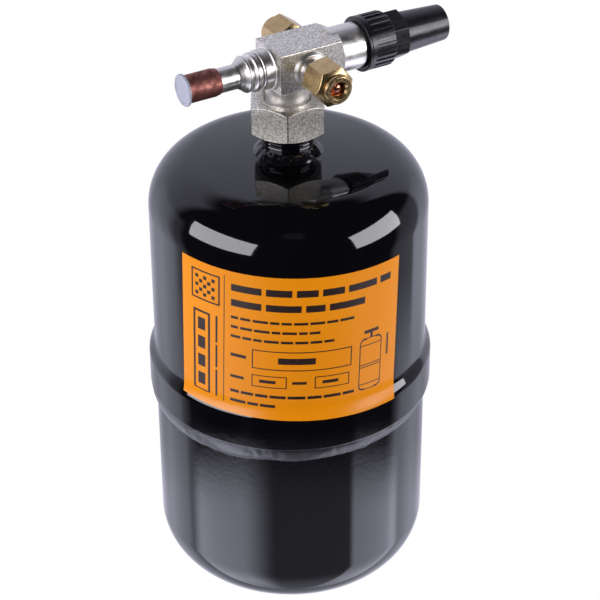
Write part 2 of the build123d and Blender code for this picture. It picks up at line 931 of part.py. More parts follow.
def flare_nut(x, side, cut, turn):
    """Brass cap nut of a flare port with its turned neck and collar."""
    section, axis = port_section(x, side, cut)
    inner_r = port_thread_d / 2 + thread_clear
    hole_r = nut_hole_d / 2
    cone_gap = 2 * running * sqrt(2)
    cone_start = port_thread_end + 0.6
    cone_r = port_thread_d / 2 - 0.8 - (cone_start - port_thread_end)
    cone_r = cone_r + cone_gap + bonnet_t * sqrt(2)
    hex_plane = Plane(
        origin=(x, side * (nut_start - cut), axis_z),
        x_dir=(1, 0, 0),
        z_dir=(0, side, 0),
    )
    with BuildPart() as nut:
        add(hex_bar(hex_plane, nut_af, nut_hex_end - nut_start, turn, True, True))
        with BuildSketch(section):
            with BuildLine():
                Polyline(
                    (nut_hex_end - 1, 0),
                    (nut_hex_end - 1, nut_neck_d / 2),
                    (nut_end - nut_collar_t, nut_neck_d / 2),
                    (nut_end - nut_collar_t, nut_collar_d / 2),
                    (nut_end - 0.4, nut_collar_d / 2),
                    (nut_end, nut_collar_d / 2 - 0.4),
                    (nut_end, 0),
                    close=True,
                )
            make_face()
        revolve(axis=axis)
        with BuildSketch(section):
            with BuildLine():
                Polyline(
                    (nut_start, 0),
                    (nut_start, inner_r),
                    (cone_start, inner_r),
                    (cone_start, cone_r),
                    (cone_start + cone_r - hole_r, hole_r),
                    (nut_end - 0.5, hole_r),
                    (nut_end, hole_r + 0.5),
                    (nut_end, 0),
                    close=True,
                )
            make_face()
        revolve(axis=axis, mode=Mode.SUBTRACT)
    return nut


front_bonnet = flare_bonnet(front_port_x, -1, 0)
save(front_bonnet, "front_bonnet")
rear_bonnet = flare_bonnet(rear_port_x, 1, rear_port_cut)
save(rear_bonnet, "rear_bonnet")
front_flare_nut = flare_nut(front_port_x, -1, 0, front_hex_turn)
save(front_flare_nut, "front_flare_nut")
rear_flare_nut = flare_nut(rear_port_x, 1, rear_port_cut, rear_hex_turn)
save(rear_flare_nut, "rear_flare_nut")
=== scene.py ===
"""Looks of an upright liquid receiver with its outlet valve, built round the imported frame."""

import logging
import math
import random
from collections.abc import Callable, Sequence
from dataclasses import dataclass, field
from enum import Enum
from typing import Any

import bmesh
import bpy
from mathutils import Matrix, Vector, noise


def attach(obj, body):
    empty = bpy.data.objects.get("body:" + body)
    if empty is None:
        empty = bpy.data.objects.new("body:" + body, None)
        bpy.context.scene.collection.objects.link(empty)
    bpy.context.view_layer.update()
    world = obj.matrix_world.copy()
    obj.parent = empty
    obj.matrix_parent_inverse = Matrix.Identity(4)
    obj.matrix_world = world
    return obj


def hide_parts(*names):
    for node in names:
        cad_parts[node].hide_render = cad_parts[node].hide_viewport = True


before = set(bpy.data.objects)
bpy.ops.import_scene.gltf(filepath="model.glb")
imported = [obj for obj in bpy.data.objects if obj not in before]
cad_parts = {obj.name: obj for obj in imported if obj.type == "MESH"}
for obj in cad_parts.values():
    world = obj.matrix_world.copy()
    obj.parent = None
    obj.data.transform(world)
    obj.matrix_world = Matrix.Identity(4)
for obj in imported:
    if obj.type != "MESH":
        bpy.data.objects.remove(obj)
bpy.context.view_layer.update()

LOG = logging.getLogger("receiver")
MM = 0.001
AXIS_Z = 259.4

Corner = tuple[float, float, float]
Point = tuple[float, float]


class Body(Enum):
    """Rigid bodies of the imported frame."""

    TANK = "tank"
    DISC = "disc_body"
    SPINDLE = "spindle_body"
    CAP_SEAL = "cap_seal_body"
    CAP = "cap_body"
    FRONT_BONNET = "front_bonnet_body"
    FRONT_NUT = "front_nut_body"
    REAR_BONNET = "rear_bonnet_body"
    REAR_NUT = "rear_nut_body"
    PLUG = "plug_body"


class Slot(Enum):
    """Material slots of the record."""

    PAINT = "black_paint"
    LABEL = "label_paper"
    FORGED = "blasted_steel"
    TURNED = "bright_steel"
    BRASS = "brass"
    COPPER = "copper"
    PLUG = "plug_plastic"
    CAP = "cap_plastic"
    SEAL = "seal_white"


class Side(Enum):
    """Which way a flare port points along Y."""

    FRONT = -1
    REAR = 1


def srgb(red: int, green: int, blue: int) -> tuple[float, float, float, float]:
    """Turn screen values from 0 to 255 into a linear colour.

    Args:
        red: Red value.
        green: Green value.
        blue: Blue value.

    Returns:
        Linear red, green, blue and an alpha of 1.
    """
    parts = []
    for value in (red, green, blue):
        share = value / 255
        parts.append(share / 12.92 if share <= 0.04045 else ((share + 0.055) / 1.055) ** 2.4)
    return (parts[0], parts[1], parts[2], 1.0)


def arc(centre: Point, radius: float, start: float, end: float, steps: int) -> list[Corner]:
    """Points along an arc as corners without rounding.

    Args:
        centre: Centre of the arc as radius and height.
        radius: Radius of the arc.
        start: Start angle in radians.
        end: End angle in radians.
        steps: Number of spans.

    Returns:
        The corners from start to end.
    """
    points = []
    for step in range(steps + 1):
        angle = start + (end - start) * step / steps
        points.append((centre[0] + radius * math.cos(angle), centre[1] + radius * math.sin(angle), 0.0))
    return points


def softened(corners: Sequence[Corner], loop: bool, steps: int = 4) -> list[Point]:
    """Round the corners of an outline.

    Args:
        corners: Outline points, each with the rounding radius wanted there.
        loop: Whether the last corner joins the first.
        steps: Spans of each rounding.

    Returns:
        The outline with its corners replaced by short arcs.
    """
    count = len(corners)
    outline: list[Point] = []
    for index, (radius, height, rounding) in enumerate(corners):
        here = Vector((radius, height))
        is_end = not loop and index in (0, count - 1)
        if rounding <= 0 or is_end:
            outline.append((here.x, here.y))
            continue
        before = Vector(corners[index - 1][:2]) - here
        after = Vector(corners[(index + 1) % count][:2]) - here
        half = before.angle(after) / 2
        reach = min(rounding / math.tan(half), 0.45 * before.length, 0.45 * after.length)
        start = here + before.normalized() * reach
        end = here + after.normalized() * reach
        for step in range(steps + 1):
            share = step / steps
            spot = start.lerp(here, share).lerp(here.lerp(end, share), share)
            outline.append((spot.x, spot.y))
    return outline


def rounded_polygon(corners: Sequence[Point], rounding: float, straight: int, bend: int) -> list[Point]:
    """Outline of a convex polygon with rounded corners.

    Args:
        corners: Corners in order.
        rounding: Radius at each corner.
        straight: Points along each side.
        bend: Spans of each corner's arc.

    Returns:
        Points in order round the polygon.
    """
    count = len(corners)
    outline: list[Point] = []
    for index in range(count):
        here = Vector(corners[index])
        before = (Vector(corners[index - 1]) - here).normalized()
        after = Vector(corners[(index + 1) % count]) - here
        reach = rounding / math.tan(before.angle(after) / 2)
        start = here + before * reach
        end = here + after.normalized() * reach
        for step in range(bend + 1):
            share = step / bend
            spot = start.lerp(here, share).lerp(here.lerp(end, share), share)
            outline.append((spot.x, spot.y))
        far = Vector(corners[(index + 1) % count]) - after.normalized() * reach
        for step in range(1, straight + 1):
            spot = end.lerp(far, step / (straight + 1))
            outline.append((spot.x, spot.y))
    return outline


def hexagon(across: float, rounding: float, turn: float) -> list[Point]:
    """Rounded hexagon.

    Args:
        across: Width across flats.
        rounding: Radius at each corner.
        turn: Angle of the first corner in degrees.

    Returns:
        Points in order round the hexagon.
    """
    reach = across / math.sqrt(3)
    angles = [math.radians(turn + 60 * step) for step in range(6)]
    corners = [(reach * math.cos(a), reach * math.sin(a)) for a in angles]
    return rounded_polygon(corners, rounding, 9, 4)


def placed(origin: Sequence[float], along: Sequence[float], across: Sequence[float]) -> Matrix:
    """Local frame whose Z runs along an axis.

    Args:
        origin: Origin in millimetres.
        along: Direction of the local Z axis.
        across: Direction of the local X axis.

    Returns:
        Matrix from local millimetres to the row's millimetres.
    """
    z_axis = Vector(along).normalized()
    x_axis = Vector(across).normalized()
    y_axis = z_axis.cross(x_axis)
    turn = Matrix((x_axis, y_axis, z_axis)).transposed().to_4x4()
    return Matrix.Translation(Vector(origin)) @ turn


TANK_FRAME = Matrix.Identity(4)
VALVE_FRAME = placed((0, 0, AXIS_Z), (1, 0, 0), (0, 1, 0))


class Shape:
    """A mesh under construction, in millimetres, in a frame of its own."""

    def __init__(self, name: str, place: Matrix = TANK_FRAME) -> None:
        """Start an empty mesh.

        Args:
            name: Name of the finished piece.
            place: Frame that the points are given in.
        """
        self.name = name
        self.place = place
        self.mesh = bmesh.new()

    def skin(self, rings: Sequence[Sequence[Vector]], loop: bool = False) -> None:
        """Join rings of equal count with quads.

        Args:
            rings: Rings of local points.
            loop: Whether the last ring joins the first.
        """
        rows = [[self.mesh.verts.new(self.place @ point) for point in ring] for ring in rings]
        pairs = list(zip(rows, rows[1:]))
        if loop:
            pairs.append((rows[-1], rows[0]))
        for low, high in pairs:
            for index in range(len(low)):
                ahead = (index + 1) % len(low)
                self.mesh.faces.new((low[index], low[ahead], high[ahead], high[index]))

    def lathe(self, corners: Sequence[Corner], loop: bool = False, sides: int = 96) -> None:
        """Turn an outline about the local Z axis.

        Args:
            corners: Radius, height and rounding of each corner.
            loop: Whether the outline closes on itself, as on a ring.
            sides: Spans round the axis.
        """
        angles = [2 * math.pi * step / sides for step in range(sides)]
        rings = []
        for radius, height in softened(corners, loop):
            rings.append([Vector((radius * math.cos(a), radius * math.sin(a), height)) for a in angles])
        self.skin(rings, loop)

    def add_mesh(self, mesh: bpy.types.Mesh) -> None:
        """Take in a finished mesh given in local millimetres, and delete it."""
        mesh.transform(self.place)
        self.mesh.from_mesh(mesh)
        bpy.data.meshes.remove(mesh)

    def finished(self, finish: "Finish", body: Body, replaced: Sequence[str] = ()) -> bpy.types.Object:
        """Close the mesh and hand it over as a piece of the object.

        Args:
            finish: Finish of its surface.
            body: Body that it rides on.
            replaced: CAD nodes that it stands for.

        Returns:
            The finished piece.
        """
        bmesh.ops.remove_doubles(self.mesh, verts=self.mesh.verts, dist=0.0005)
        bmesh.ops.recalc_face_normals(self.mesh, faces=self.mesh.faces)
        bmesh.ops.scale(self.mesh, vec=(MM, MM, MM), verts=self.mesh.verts)
        data = bpy.data.meshes.new(self.name)
        self.mesh.to_mesh(data)
        self.mesh.free()
        return hand_over(data, self.name, finish, body, replaced)


def hand_over(
    data: bpy.types.Mesh,
    name: str,
    finish: "Finish",
    body: Body,
    replaced: Sequence[str] = (),
) -> bpy.types.Object:
    """Shade a mesh in metres and make it a piece of the object.

    Args:
        data: The mesh.
        name: Name of the piece.
        finish: Finish of its surface.
        body: Body that it rides on.
        replaced: CAD nodes that it stands for.

    Returns:
        The piece.
    """
    data.polygons.foreach_set("use_smooth", [True] * len(data.polygons))
    data.set_sharp_from_angle(angle=math.radians(38))
    data.materials.clear()
    data.materials.append(finish.material())
    piece = bpy.data.objects.new(name, data)
    bpy.context.scene.collection.objects.link(piece)
    even = piece.modifiers.new("even_normals", "WEIGHTED_NORMAL")
    even.keep_sharp = True
    even.weight = 60
    if replaced:
        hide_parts(*replaced)
    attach(piece, body.value)
    LOG.info("%s rides on %s, %d faces", name, body.value, len(data.polygons))
    return piece


def fused(name: str, shapes: Sequence[Shape], cutters: Sequence[Shape] = ()) -> bpy.types.Mesh:
    """Unite closed shapes, cut others out, and return one mesh in metres.

    Args:
        name: Name of the mesh.
        shapes: Shapes to unite, the first being the main one.
        cutters: Shapes to take away.

    Returns:
        The united mesh.
    """
    helpers = []
    for shape in (*shapes, *cutters):
        bmesh.ops.remove_doubles(shape.mesh, verts=shape.mesh.verts, dist=0.0005)
        bmesh.ops.recalc_face_normals(shape.mesh, faces=shape.mesh.faces)
        data = bpy.data.meshes.new(shape.name)
        shape.mesh.to_mesh(data)
        shape.mesh.free()
        helper = bpy.data.objects.new(shape.name, data)
        bpy.context.scene.collection.objects.link(helper)
        helpers.append(helper)
    base = helpers[0]
    for index, helper in enumerate(helpers[1:], start=1):
        step = base.modifiers.new(helper.name, "BOOLEAN")
        step.operation = "UNION" if index < len(shapes) else "DIFFERENCE"
        step.solver = "EXACT"
        step.object = helper
    evaluated = base.evaluated_get(bpy.context.evaluated_depsgraph_get())
    united = bpy.data.meshes.new_from_object(evaluated)
    united.name = name
    united.transform(Matrix.Scale(MM, 4))
    for helper in helpers:
        data = helper.data
        bpy.data.objects.remove(helper)
        bpy.data.meshes.remove(data)
    return united


class Board:
    """Node board of one material."""

    def __init__(self, name: str) -> None:
        """Start a material with a Principled shader.

        Args:
            name: Name of the material.
        """
        self.material = bpy.data.materials.new(name)
        self.material.use_nodes = True
        self.tree = self.material.node_tree
        self.tree.nodes.clear()
        self.shader = self.tree.nodes.new("ShaderNodeBsdfPrincipled")
        output = self.tree.nodes.new("ShaderNodeOutputMaterial")
        self.tree.links.new(self.shader.outputs[0], output.inputs[0])
        self.place = self.tree.nodes.new("ShaderNodeTexCoord").outputs["Object"]

    def wire(self, socket: bpy.types.NodeSocket, value: Any) -> None:
        """Link or set a socket."""
        if isinstance(value, bpy.types.NodeSocket):
            self.tree.links.new(value, socket)
        else:
            socket.default_value = value

    def stretched(self, scale: Sequence[float], offset: Sequence[float] = (0, 0, 0)) -> Any:
        """Object coordinates scaled along each axis.

        Args:
            scale: Factor along X, Y and Z.
            offset: Shift before the texture, in metres.

        Returns:
            The vector socket.
        """
        node = self.tree.nodes.new("ShaderNodeMapping")
        self.wire(node.inputs["Vector"], self.place)
        node.inputs["Scale"].default_value = scale
        node.inputs["Location"].default_value = offset
        return node.outputs[0]

    def noise(self, size_mm: float, detail: float = 3.0, vector: Any = None, roughness: float = 0.5) -> Any:
        """Noise of a given feature size.

        Args:
            size_mm: Size of its features in millimetres.
            detail: Octaves.
            vector: Coordinates, the object's own by default.
            roughness: Strength of the finer octaves.

        Returns:
            The factor socket.
        """
        node = self.tree.nodes.new("ShaderNodeTexNoise")
        self.wire(node.inputs["Vector"], self.place if vector is None else vector)
        node.inputs["Scale"].default_value = 1 / (size_mm * MM)
        node.inputs["Detail"].default_value = detail
        node.inputs["Roughness"].default_value = roughness
        return node.outputs["Fac"]

    def cells(self, size_mm: float) -> Any:
        """Random value for each grain of a given size in millimetres."""
        node = self.tree.nodes.new("ShaderNodeTexVoronoi")
        self.wire(node.inputs["Vector"], self.place)
        node.inputs["Scale"].default_value = 1 / (size_mm * MM)
        return node.outputs["Color"]

    def span(self, value: Any, low: float, high: float, to_low: float = 0.0, to_high: float = 1.0) -> Any:
        """Map a value from one range to another, clamped.

        Args:
            value: Input socket.
            low: Input value that gives to_low.
            high: Input value that gives to_high.
            to_low: Low end of the result.
            to_high: High end of the result.

        Returns:
            The result socket.
        """
        node = self.tree.nodes.new("ShaderNodeMapRange")
        self.wire(node.inputs["Value"], value)
        node.inputs["From Min"].default_value = low
        node.inputs["From Max"].default_value = high
        node.inputs["To Min"].default_value = to_low
        node.inputs["To Max"].default_value = to_high
        return node.outputs["Result"]

    def math(self, operation: str, first: Any, second: Any) -> Any:
        """Combine two values with a math operation."""
        node = self.tree.nodes.new("ShaderNodeMath")
        node.operation = operation
        self.wire(node.inputs[0], first)
        self.wire(node.inputs[1], second)
        return node.outputs[0]

    def mixed(self, factor: Any, first: Any, second: Any) -> Any:
        """Mix two colours by a factor."""
        node = self.tree.nodes.new("ShaderNodeMix")
        node.data_type = "RGBA"
        self.wire(node.inputs["Factor"], factor)
        self.wire(node.inputs["A"], first)
        self.wire(node.inputs["B"], second)
        return node.outputs["Result"]

    def relief(self, height: Any, depth_mm: float, strength: float = 1.0, below: Any = None) -> Any:
        """Bump from a height.

        Args:
            height: Height socket, 0 to 1.
            depth_mm: Depth of the relief in millimetres.
            strength: Share of the bump that shows.
            below: Normal socket of a coarser relief under this one.

        Returns:
            The normal socket.
        """
        node = self.tree.nodes.new("ShaderNodeBump")
        self.wire(node.inputs["Height"], height)
        node.inputs["Distance"].default_value = depth_mm * MM
        node.inputs["Strength"].default_value = strength
        if below is not None:
            self.wire(node.inputs["Normal"], below)
        return node.outputs[0]

    def dress(self, **sockets: Any) -> bpy.types.Material:
        """Set the shader's sockets by name, with _ for a space, and return the material."""
        for name, value in sockets.items():
            self.wire(self.shader.inputs[name.replace("_", " ")], value)
        return self.material


@dataclass(frozen=True)
class Finish:
    """Finish of a surface. Each kind makes its own material once."""

    name: str
    slot: Slot

    def material(self) -> bpy.types.Material:
        """Return the material, made on its first use."""
        known = bpy.data.materials.get(self.name)
        return known if known else self.made()

    def made(self) -> bpy.types.Material:
        """Make the material. Each kind of finish does this its own way."""
        raise NotImplementedError


@dataclass(frozen=True)
class GlossPaint(Finish):
    """Stoved black gloss paint with a faint orange peel and dust."""

    name: str = "gloss_black_paint"
    slot: Slot = Slot.PAINT
    roughness: float = 0.04
    peel_mm: float = 2.6
    streaks: float = 0.0

    def made(self) -> bpy.types.Material:
        """Make the paint."""
        board = Board(self.name)
        patches = board.noise(24.0, 4.0)
        dust = board.span(board.noise(0.5, 2.0), 0.66, 0.78)
        colour = board.mixed(patches, srgb(3, 3, 5), srgb(8, 8, 11))
        colour = board.mixed(board.math("MULTIPLY", dust, 0.06), colour, srgb(120, 120, 126))
        rough = board.span(patches, 0.3, 0.7, self.roughness, self.roughness * 1.6)
        normal = board.relief(board.noise(self.peel_mm, 2.0), 0.012, 0.5)
        if self.streaks > 0:
            along = board.stretched((1.0, 1.0, 7.0))
            normal = board.relief(board.noise(5.0, 5.0, along), 0.25, self.streaks, normal)
        return board.dress(Base_Color=colour, Roughness=rough, Normal=normal)


@dataclass(frozen=True)
class ForgedSteel(Finish):
    """Forged steel, bead blasted to an even sparkling grain."""

    name: str = "blasted_steel_grain"
    slot: Slot = Slot.FORGED
    grain_mm: float = 0.5
    depth_mm: float = 0.045
    corner_r: float = 0.0

    def made(self) -> bpy.types.Material:
        """Make the blasted steel."""
        board = Board(self.name)
        grain = board.span(board.cells(self.grain_mm), 0.25, 0.75)
        fine = board.noise(0.5, 3.0)
        patches = board.noise(7.0, 3.0)
        colour = board.mixed(grain, srgb(174, 171, 163), srgb(243, 240, 230))
        colour = board.mixed(board.span(patches, 0.35, 0.7, 0.0, 0.25), colour, srgb(190, 180, 174))
        if self.corner_r > 0:
            # colour made darker along the hexagon's corner edges
            colour = board.mixed(self.corner_lines(board), colour, srgb(58, 56, 60))
        rough = board.span(fine, 0.3, 0.7, 0.30, 0.46)
        normal = board.relief(board.mixed(0.5, grain, fine), self.depth_mm, 0.8)
        return board.dress(Base_Color=colour, Metallic=1.0, Roughness=rough, Normal=normal)

    def corner_lines(self, board: Board) -> Any:
        """Mask of the hexagon's corner edges, where the colour is made darker.

        Args:
            board: Node board of the material.

        Returns:
            The mask socket, 1 on the edges.
        """
        parts = board.tree.nodes.new("ShaderNodeSeparateXYZ")
        board.wire(parts.inputs[0], board.place)
        x_axis, y_axis = parts.outputs[0], parts.outputs[1]
        angle = board.math("MULTIPLY", board.math("ARCTAN2", y_axis, x_axis), 180 / math.pi)
        off_corner = board.math("PINGPONG", angle, 30.0)
        square = board.math("ADD", board.math("POWER", x_axis, 2.0), board.math("POWER", y_axis, 2.0))
        outside = board.math("GREATER_THAN", square, (self.corner_r * MM) ** 2)
        return board.math("MULTIPLY", board.span(off_corner, 0.3, 1.2, 0.85, 0.0), outside)


@dataclass(frozen=True)
class TurnedSteel(Finish):
    """Bright turned steel with fine tool lines across an axis."""

    name: str = "turned_steel"
    slot: Slot = Slot.TURNED
    lines: tuple[float, float, float] = (60.0, 1.0, 1.0)
    roughness: float = 0.31

    def made(self) -> bpy.types.Material:
        """Make the turned steel."""
        board = Board(self.name)
        lines = board.noise(4.0, 3.0, board.stretched(self.lines))
        stains = board.noise(3.5, 4.0)
        colour = board.mixed(stains, srgb(198, 195, 190), srgb(240, 237, 231))
        rough = board.span(stains, 0.3, 0.75, self.roughness * 0.85, self.roughness * 1.5)
        normal = board.relief(lines, 0.003, 0.4)
        return board.dress(Base_Color=colour, Metallic=1.0, Roughness=rough, Normal=normal)


@dataclass(frozen=True)
class TurnedBrass(Finish):
    """Brass bar, turned and left to dull, darker in patches."""

    name: str = "dull_brass"
    slot: Slot = Slot.BRASS

    def made(self) -> bpy.types.Material:
        """Make the brass."""
        board = Board(self.name)
        patches = board.noise(3.2, 4.0)
        scratches = board.noise(1.6, 3.0, board.stretched((1.0, 9.0, 1.0)))
        colour = board.mixed(patches, srgb(162, 136, 92), srgb(212, 186, 136))
        rough = board.span(scratches, 0.3, 0.7, 0.20, 0.34)
        normal = board.relief(scratches, 0.015, 0.5)
        return board.dress(Base_Color=colour, Metallic=1.0, Roughness=rough, Normal=normal)


@dataclass(frozen=True)
class Copper(Finish):
    """Copper, heat-darkened and blotched, or bright as pressed."""

    name: str = "darkened_copper"
    slot: Slot = Slot.COPPER
    dark: tuple[int, int, int] = (112, 70, 64)
    light: tuple[int, int, int] = (160, 106, 96)
    roughness: float = 0.46

    def made(self) -> bpy.types.Material:
        """Make the copper."""
        board = Board(self.name)
        blotch = board.span(board.noise(2.4, 5.0), 0.36, 0.66)
        colour = board.mixed(blotch, srgb(*self.dark), srgb(*self.light))
        rough = board.span(blotch, 0.0, 1.0, self.roughness * 1.35, self.roughness)
        normal = board.relief(board.noise(0.7, 3.0), 0.02, 0.5)
        return board.dress(Base_Color=colour, Metallic=1.0, Roughness=rough, Normal=normal)


@dataclass(frozen=True)
class CapPlastic(Finish):
    """Black moulded plastic with a satin skin."""

    name: str = "black_moulded_plastic"
    slot: Slot = Slot.CAP

    def made(self) -> bpy.types.Material:
        """Make the cap's plastic."""
        board = Board(self.name)
        clouds = board.noise(6.0, 4.0)
        scuffs = board.noise(1.4, 4.0, board.stretched((0.25, 1.0, 1.0)))
        colour = board.mixed(clouds, srgb(9, 9, 12), srgb(19, 18, 23))
        rough = board.span(scuffs, 0.3, 0.75, 0.24, 0.40)
        normal = board.relief(board.noise(0.35, 2.0), 0.01, 0.5)
        normal = board.relief(clouds, 0.10, 0.25, normal)
        return board.dress(Base_Color=colour, Roughness=rough, Normal=normal)


@dataclass(frozen=True)
class PlugPlastic(Finish):
    """Cloudy white polyethylene that lets some light through."""

    name: str = "cloudy_polyethylene"
    slot: Slot = Slot.PLUG

    def made(self) -> bpy.types.Material:
        """Make the plug's plastic."""
        board = Board(self.name)
        clouds = board.noise(4.0, 3.0)
        colour = board.mixed(clouds, srgb(140, 142, 153), srgb(164, 166, 178))
        rough = board.span(clouds, 0.3, 0.7, 0.28, 0.42)
        normal = board.relief(board.noise(0.8, 3.0), 0.02, 0.4)
        return board.dress(
            Base_Color=colour,
            Roughness=rough,
            Normal=normal,
            Subsurface_Weight=0.25,
            Subsurface_Radius=(0.002, 0.002, 0.002),
            Subsurface_Scale=1.0,
        )


@dataclass(frozen=True)
class LabelPaper(Finish):
    """Orange coated paper with a faint fibre and a few pale scuffs."""

    name: str = "orange_label_paper"
    slot: Slot = Slot.LABEL

    def made(self) -> bpy.types.Material:
        """Make the paper."""
        board = Board(self.name)
        wash = board.noise(30.0, 3.0)
        fibre = board.noise(0.5, 3.0)
        scuff = board.span(board.noise(2.2, 6.0, None, 0.7), 0.70, 0.76, 0.0, 0.6)
        colour = board.mixed(wash, srgb(218, 130, 2), srgb(230, 141, 6))
        colour = board.mixed(scuff, colour, srgb(238, 190, 110))
        rough = board.span(fibre, 0.3, 0.7, 0.26, 0.34)
        normal = board.relief(fibre, 0.006, 0.4)
        return board.dress(Base_Color=colour, Roughness=rough, Normal=normal, Specular_IOR_Level=0.3)


@dataclass(frozen=True)
class LabelInk(Finish):
    """Dark brown printing ink, slightly uneven."""

    name: str = "brown_printing_ink"
    slot: Slot = Slot.LABEL

    def made(self) -> bpy.types.Material:
        """Make the ink."""
        board = Board(self.name)
        wear = board.noise(0.9, 4.0)
        colour = board.mixed(board.span(wear, 0.35, 0.75, 0.0, 0.35), srgb(22, 9, 5), srgb(70, 36, 10))
        rough = board.span(wear, 0.3, 0.7, 0.30, 0.40)
        return board.dress(Base_Color=colour, Roughness=rough)


@dataclass(frozen=True)
class Seal(Finish):
    """White fluoropolymer of gaskets and packing."""

    name: str = "white_seal"
    slot: Slot = Slot.SEAL

    def made(self) -> bpy.types.Material:
        """Make the seal's plastic."""
        board = Board(self.name)
        clouds = board.noise(3.0, 3.0)
        colour = board.mixed(clouds, srgb(214, 213, 208), srgb(232, 231, 227))
        rough = board.span(clouds, 0.3, 0.7, 0.35, 0.5)
        normal = board.relief(board.noise(0.6, 2.0), 0.02, 0.4)
        return board.dress(Base_Color=colour, Roughness=rough, Normal=normal)


PAINT = GlossPaint()
WELD_PAINT = GlossPaint("gloss_paint_on_weld", Slot.PAINT, 0.12, 2.2, 0.25)
GIRTH_PAINT = GlossPaint("gloss_paint_on_girth_weld", Slot.PAINT, 0.20, 2.4, 0.12)
FORGED = ForgedSteel()
FORGED_NUT = ForgedSteel("blasted_nut_steel", Slot.FORGED, 0.55, 0.07, 17.4)
TURNED = TurnedSteel()
TURNED_UPRIGHT = TurnedSteel("turned_steel_upright", Slot.TURNED, (1.0, 1.0, 60.0), 0.36)
BRASS = TurnedBrass()
COPPER = Copper()
BRIGHT_COPPER = Copper("bright_copper", Slot.COPPER, (196, 112, 88), (238, 168, 140), 0.18)
CAP_PLASTIC = CapPlastic()
PLUG_PLASTIC = PlugPlastic()
PAPER = LabelPaper()
INK = LabelInk()
SEAL = Seal()


class NodeField:
    """Geometry Nodes tree under construction, with named inputs."""

    def __init__(self, name: str) -> None:
        """Start a tree with a geometry output.

        Args:
            name: Name of the tree.
        """
        self.tree = bpy.data.node_groups.new(name, "GeometryNodeTree")
        self.tree.interface.new_socket("Geometry", in_out="OUTPUT", socket_type="NodeSocketGeometry")
        self.values: dict[str, Any] = {}
        self.entry = self.tree.nodes.new("NodeGroupInput")
        self.exit = self.tree.nodes.new("NodeGroupOutput")

    def named(self, name: str, kind: str, value: Any) -> Any:
        """Add a named input and return its socket inside the tree.

        Args:
            name: Name of the input.
            kind: Socket type.
            value: Value that the modifier gives it.

        Returns:
            The output socket of the group input node.
        """
        item = self.tree.interface.new_socket(name, in_out="INPUT", socket_type=kind)
        self.values[item.identifier] = value
        return self.entry.outputs[name]

    def node(self, kind: str, **sockets: Any) -> bpy.types.Node:
        """Add a node and link or set its inputs by name, with _ for a space."""
        node = self.tree.nodes.new(kind)
        for name, value in sockets.items():
            socket = node.inputs[name.replace("_", " ")]
            if isinstance(value, bpy.types.NodeSocket):
                self.tree.links.new(value, socket)
            else:
                socket.default_value = value
        return node

    def math(self, operation: str, first: Any, second: Any) -> Any:
        """Add a math node and return its result."""
        node = self.tree.nodes.new("ShaderNodeMath")
        node.operation = operation
        for socket, value in zip(node.inputs, (first, second)):
            if isinstance(value, bpy.types.NodeSocket):
                self.tree.links.new(value, socket)
            else:
                socket.default_value = value
        return node.outputs[0]

    def baked(self, geometry: Any, finish: Finish) -> bpy.types.Mesh:
        """End the tree, run it and return the plain mesh.

        Args:
            geometry: Socket of the geometry so far.
            finish: Finish for the Set Material node.

        Returns:
            The mesh, in the units of the inputs.
        """
        realized = self.node("GeometryNodeRealizeInstances", Geometry=geometry)
        coated = self.node("GeometryNodeSetMaterial", Geometry=realized.outputs[0])
        coated.inputs["Material"].default_value = finish.material()
        self.tree.links.new(coated.outputs[0], self.exit.inputs[0])
        holder = bpy.data.objects.new(self.tree.name, bpy.data.meshes.new(self.tree.name))
        bpy.context.scene.collection.objects.link(holder)
        modifier = holder.modifiers.new(self.tree.name, "NODES")
        modifier.node_group = self.tree
        for identifier, value in self.values.items():
            modifier[identifier] = value
        evaluated = holder.evaluated_get(bpy.context.evaluated_depsgraph_get())
        mesh = bpy.data.meshes.new_from_object(evaluated)
        empty = holder.data
        bpy.data.objects.remove(holder)
        bpy.data.meshes.remove(empty)
        return mesh


def ring_of(piece: bpy.types.Object, count: int, finish: Finish) -> bpy.types.Mesh:
    """Repeat a piece evenly round its local Z axis.

    Args:
        piece: Object to repeat, at its place for the first copy.
        count: Number of copies.
        finish: Finish of the copies.

    Returns:
        One mesh with all copies.
    """
    field_ = NodeField("ring_of_" + piece.name)
    copies = field_.named("Count", "NodeSocketInt", count)
    source = field_.named("Piece", "NodeSocketObject", piece)
    line = field_.node("GeometryNodeMeshLine", Count=copies, Offset=(0, 0, 0))
    info = field_.node("GeometryNodeObjectInfo", Object=source)
    index = field_.node("GeometryNodeInputIndex")
    step = field_.math("DIVIDE", 2 * math.pi, copies)
    angle = field_.math("MULTIPLY", index.outputs[0], step)
    turn = field_.node("ShaderNodeCombineXYZ", Z=angle)
    spread = field_.node(
        "GeometryNodeInstanceOnPoints",
        Points=line.outputs[0],
        Instance=info.outputs["Geometry"],
        Rotation=turn.outputs[0],
    )
    return field_.baked(spread.outputs[0], finish)


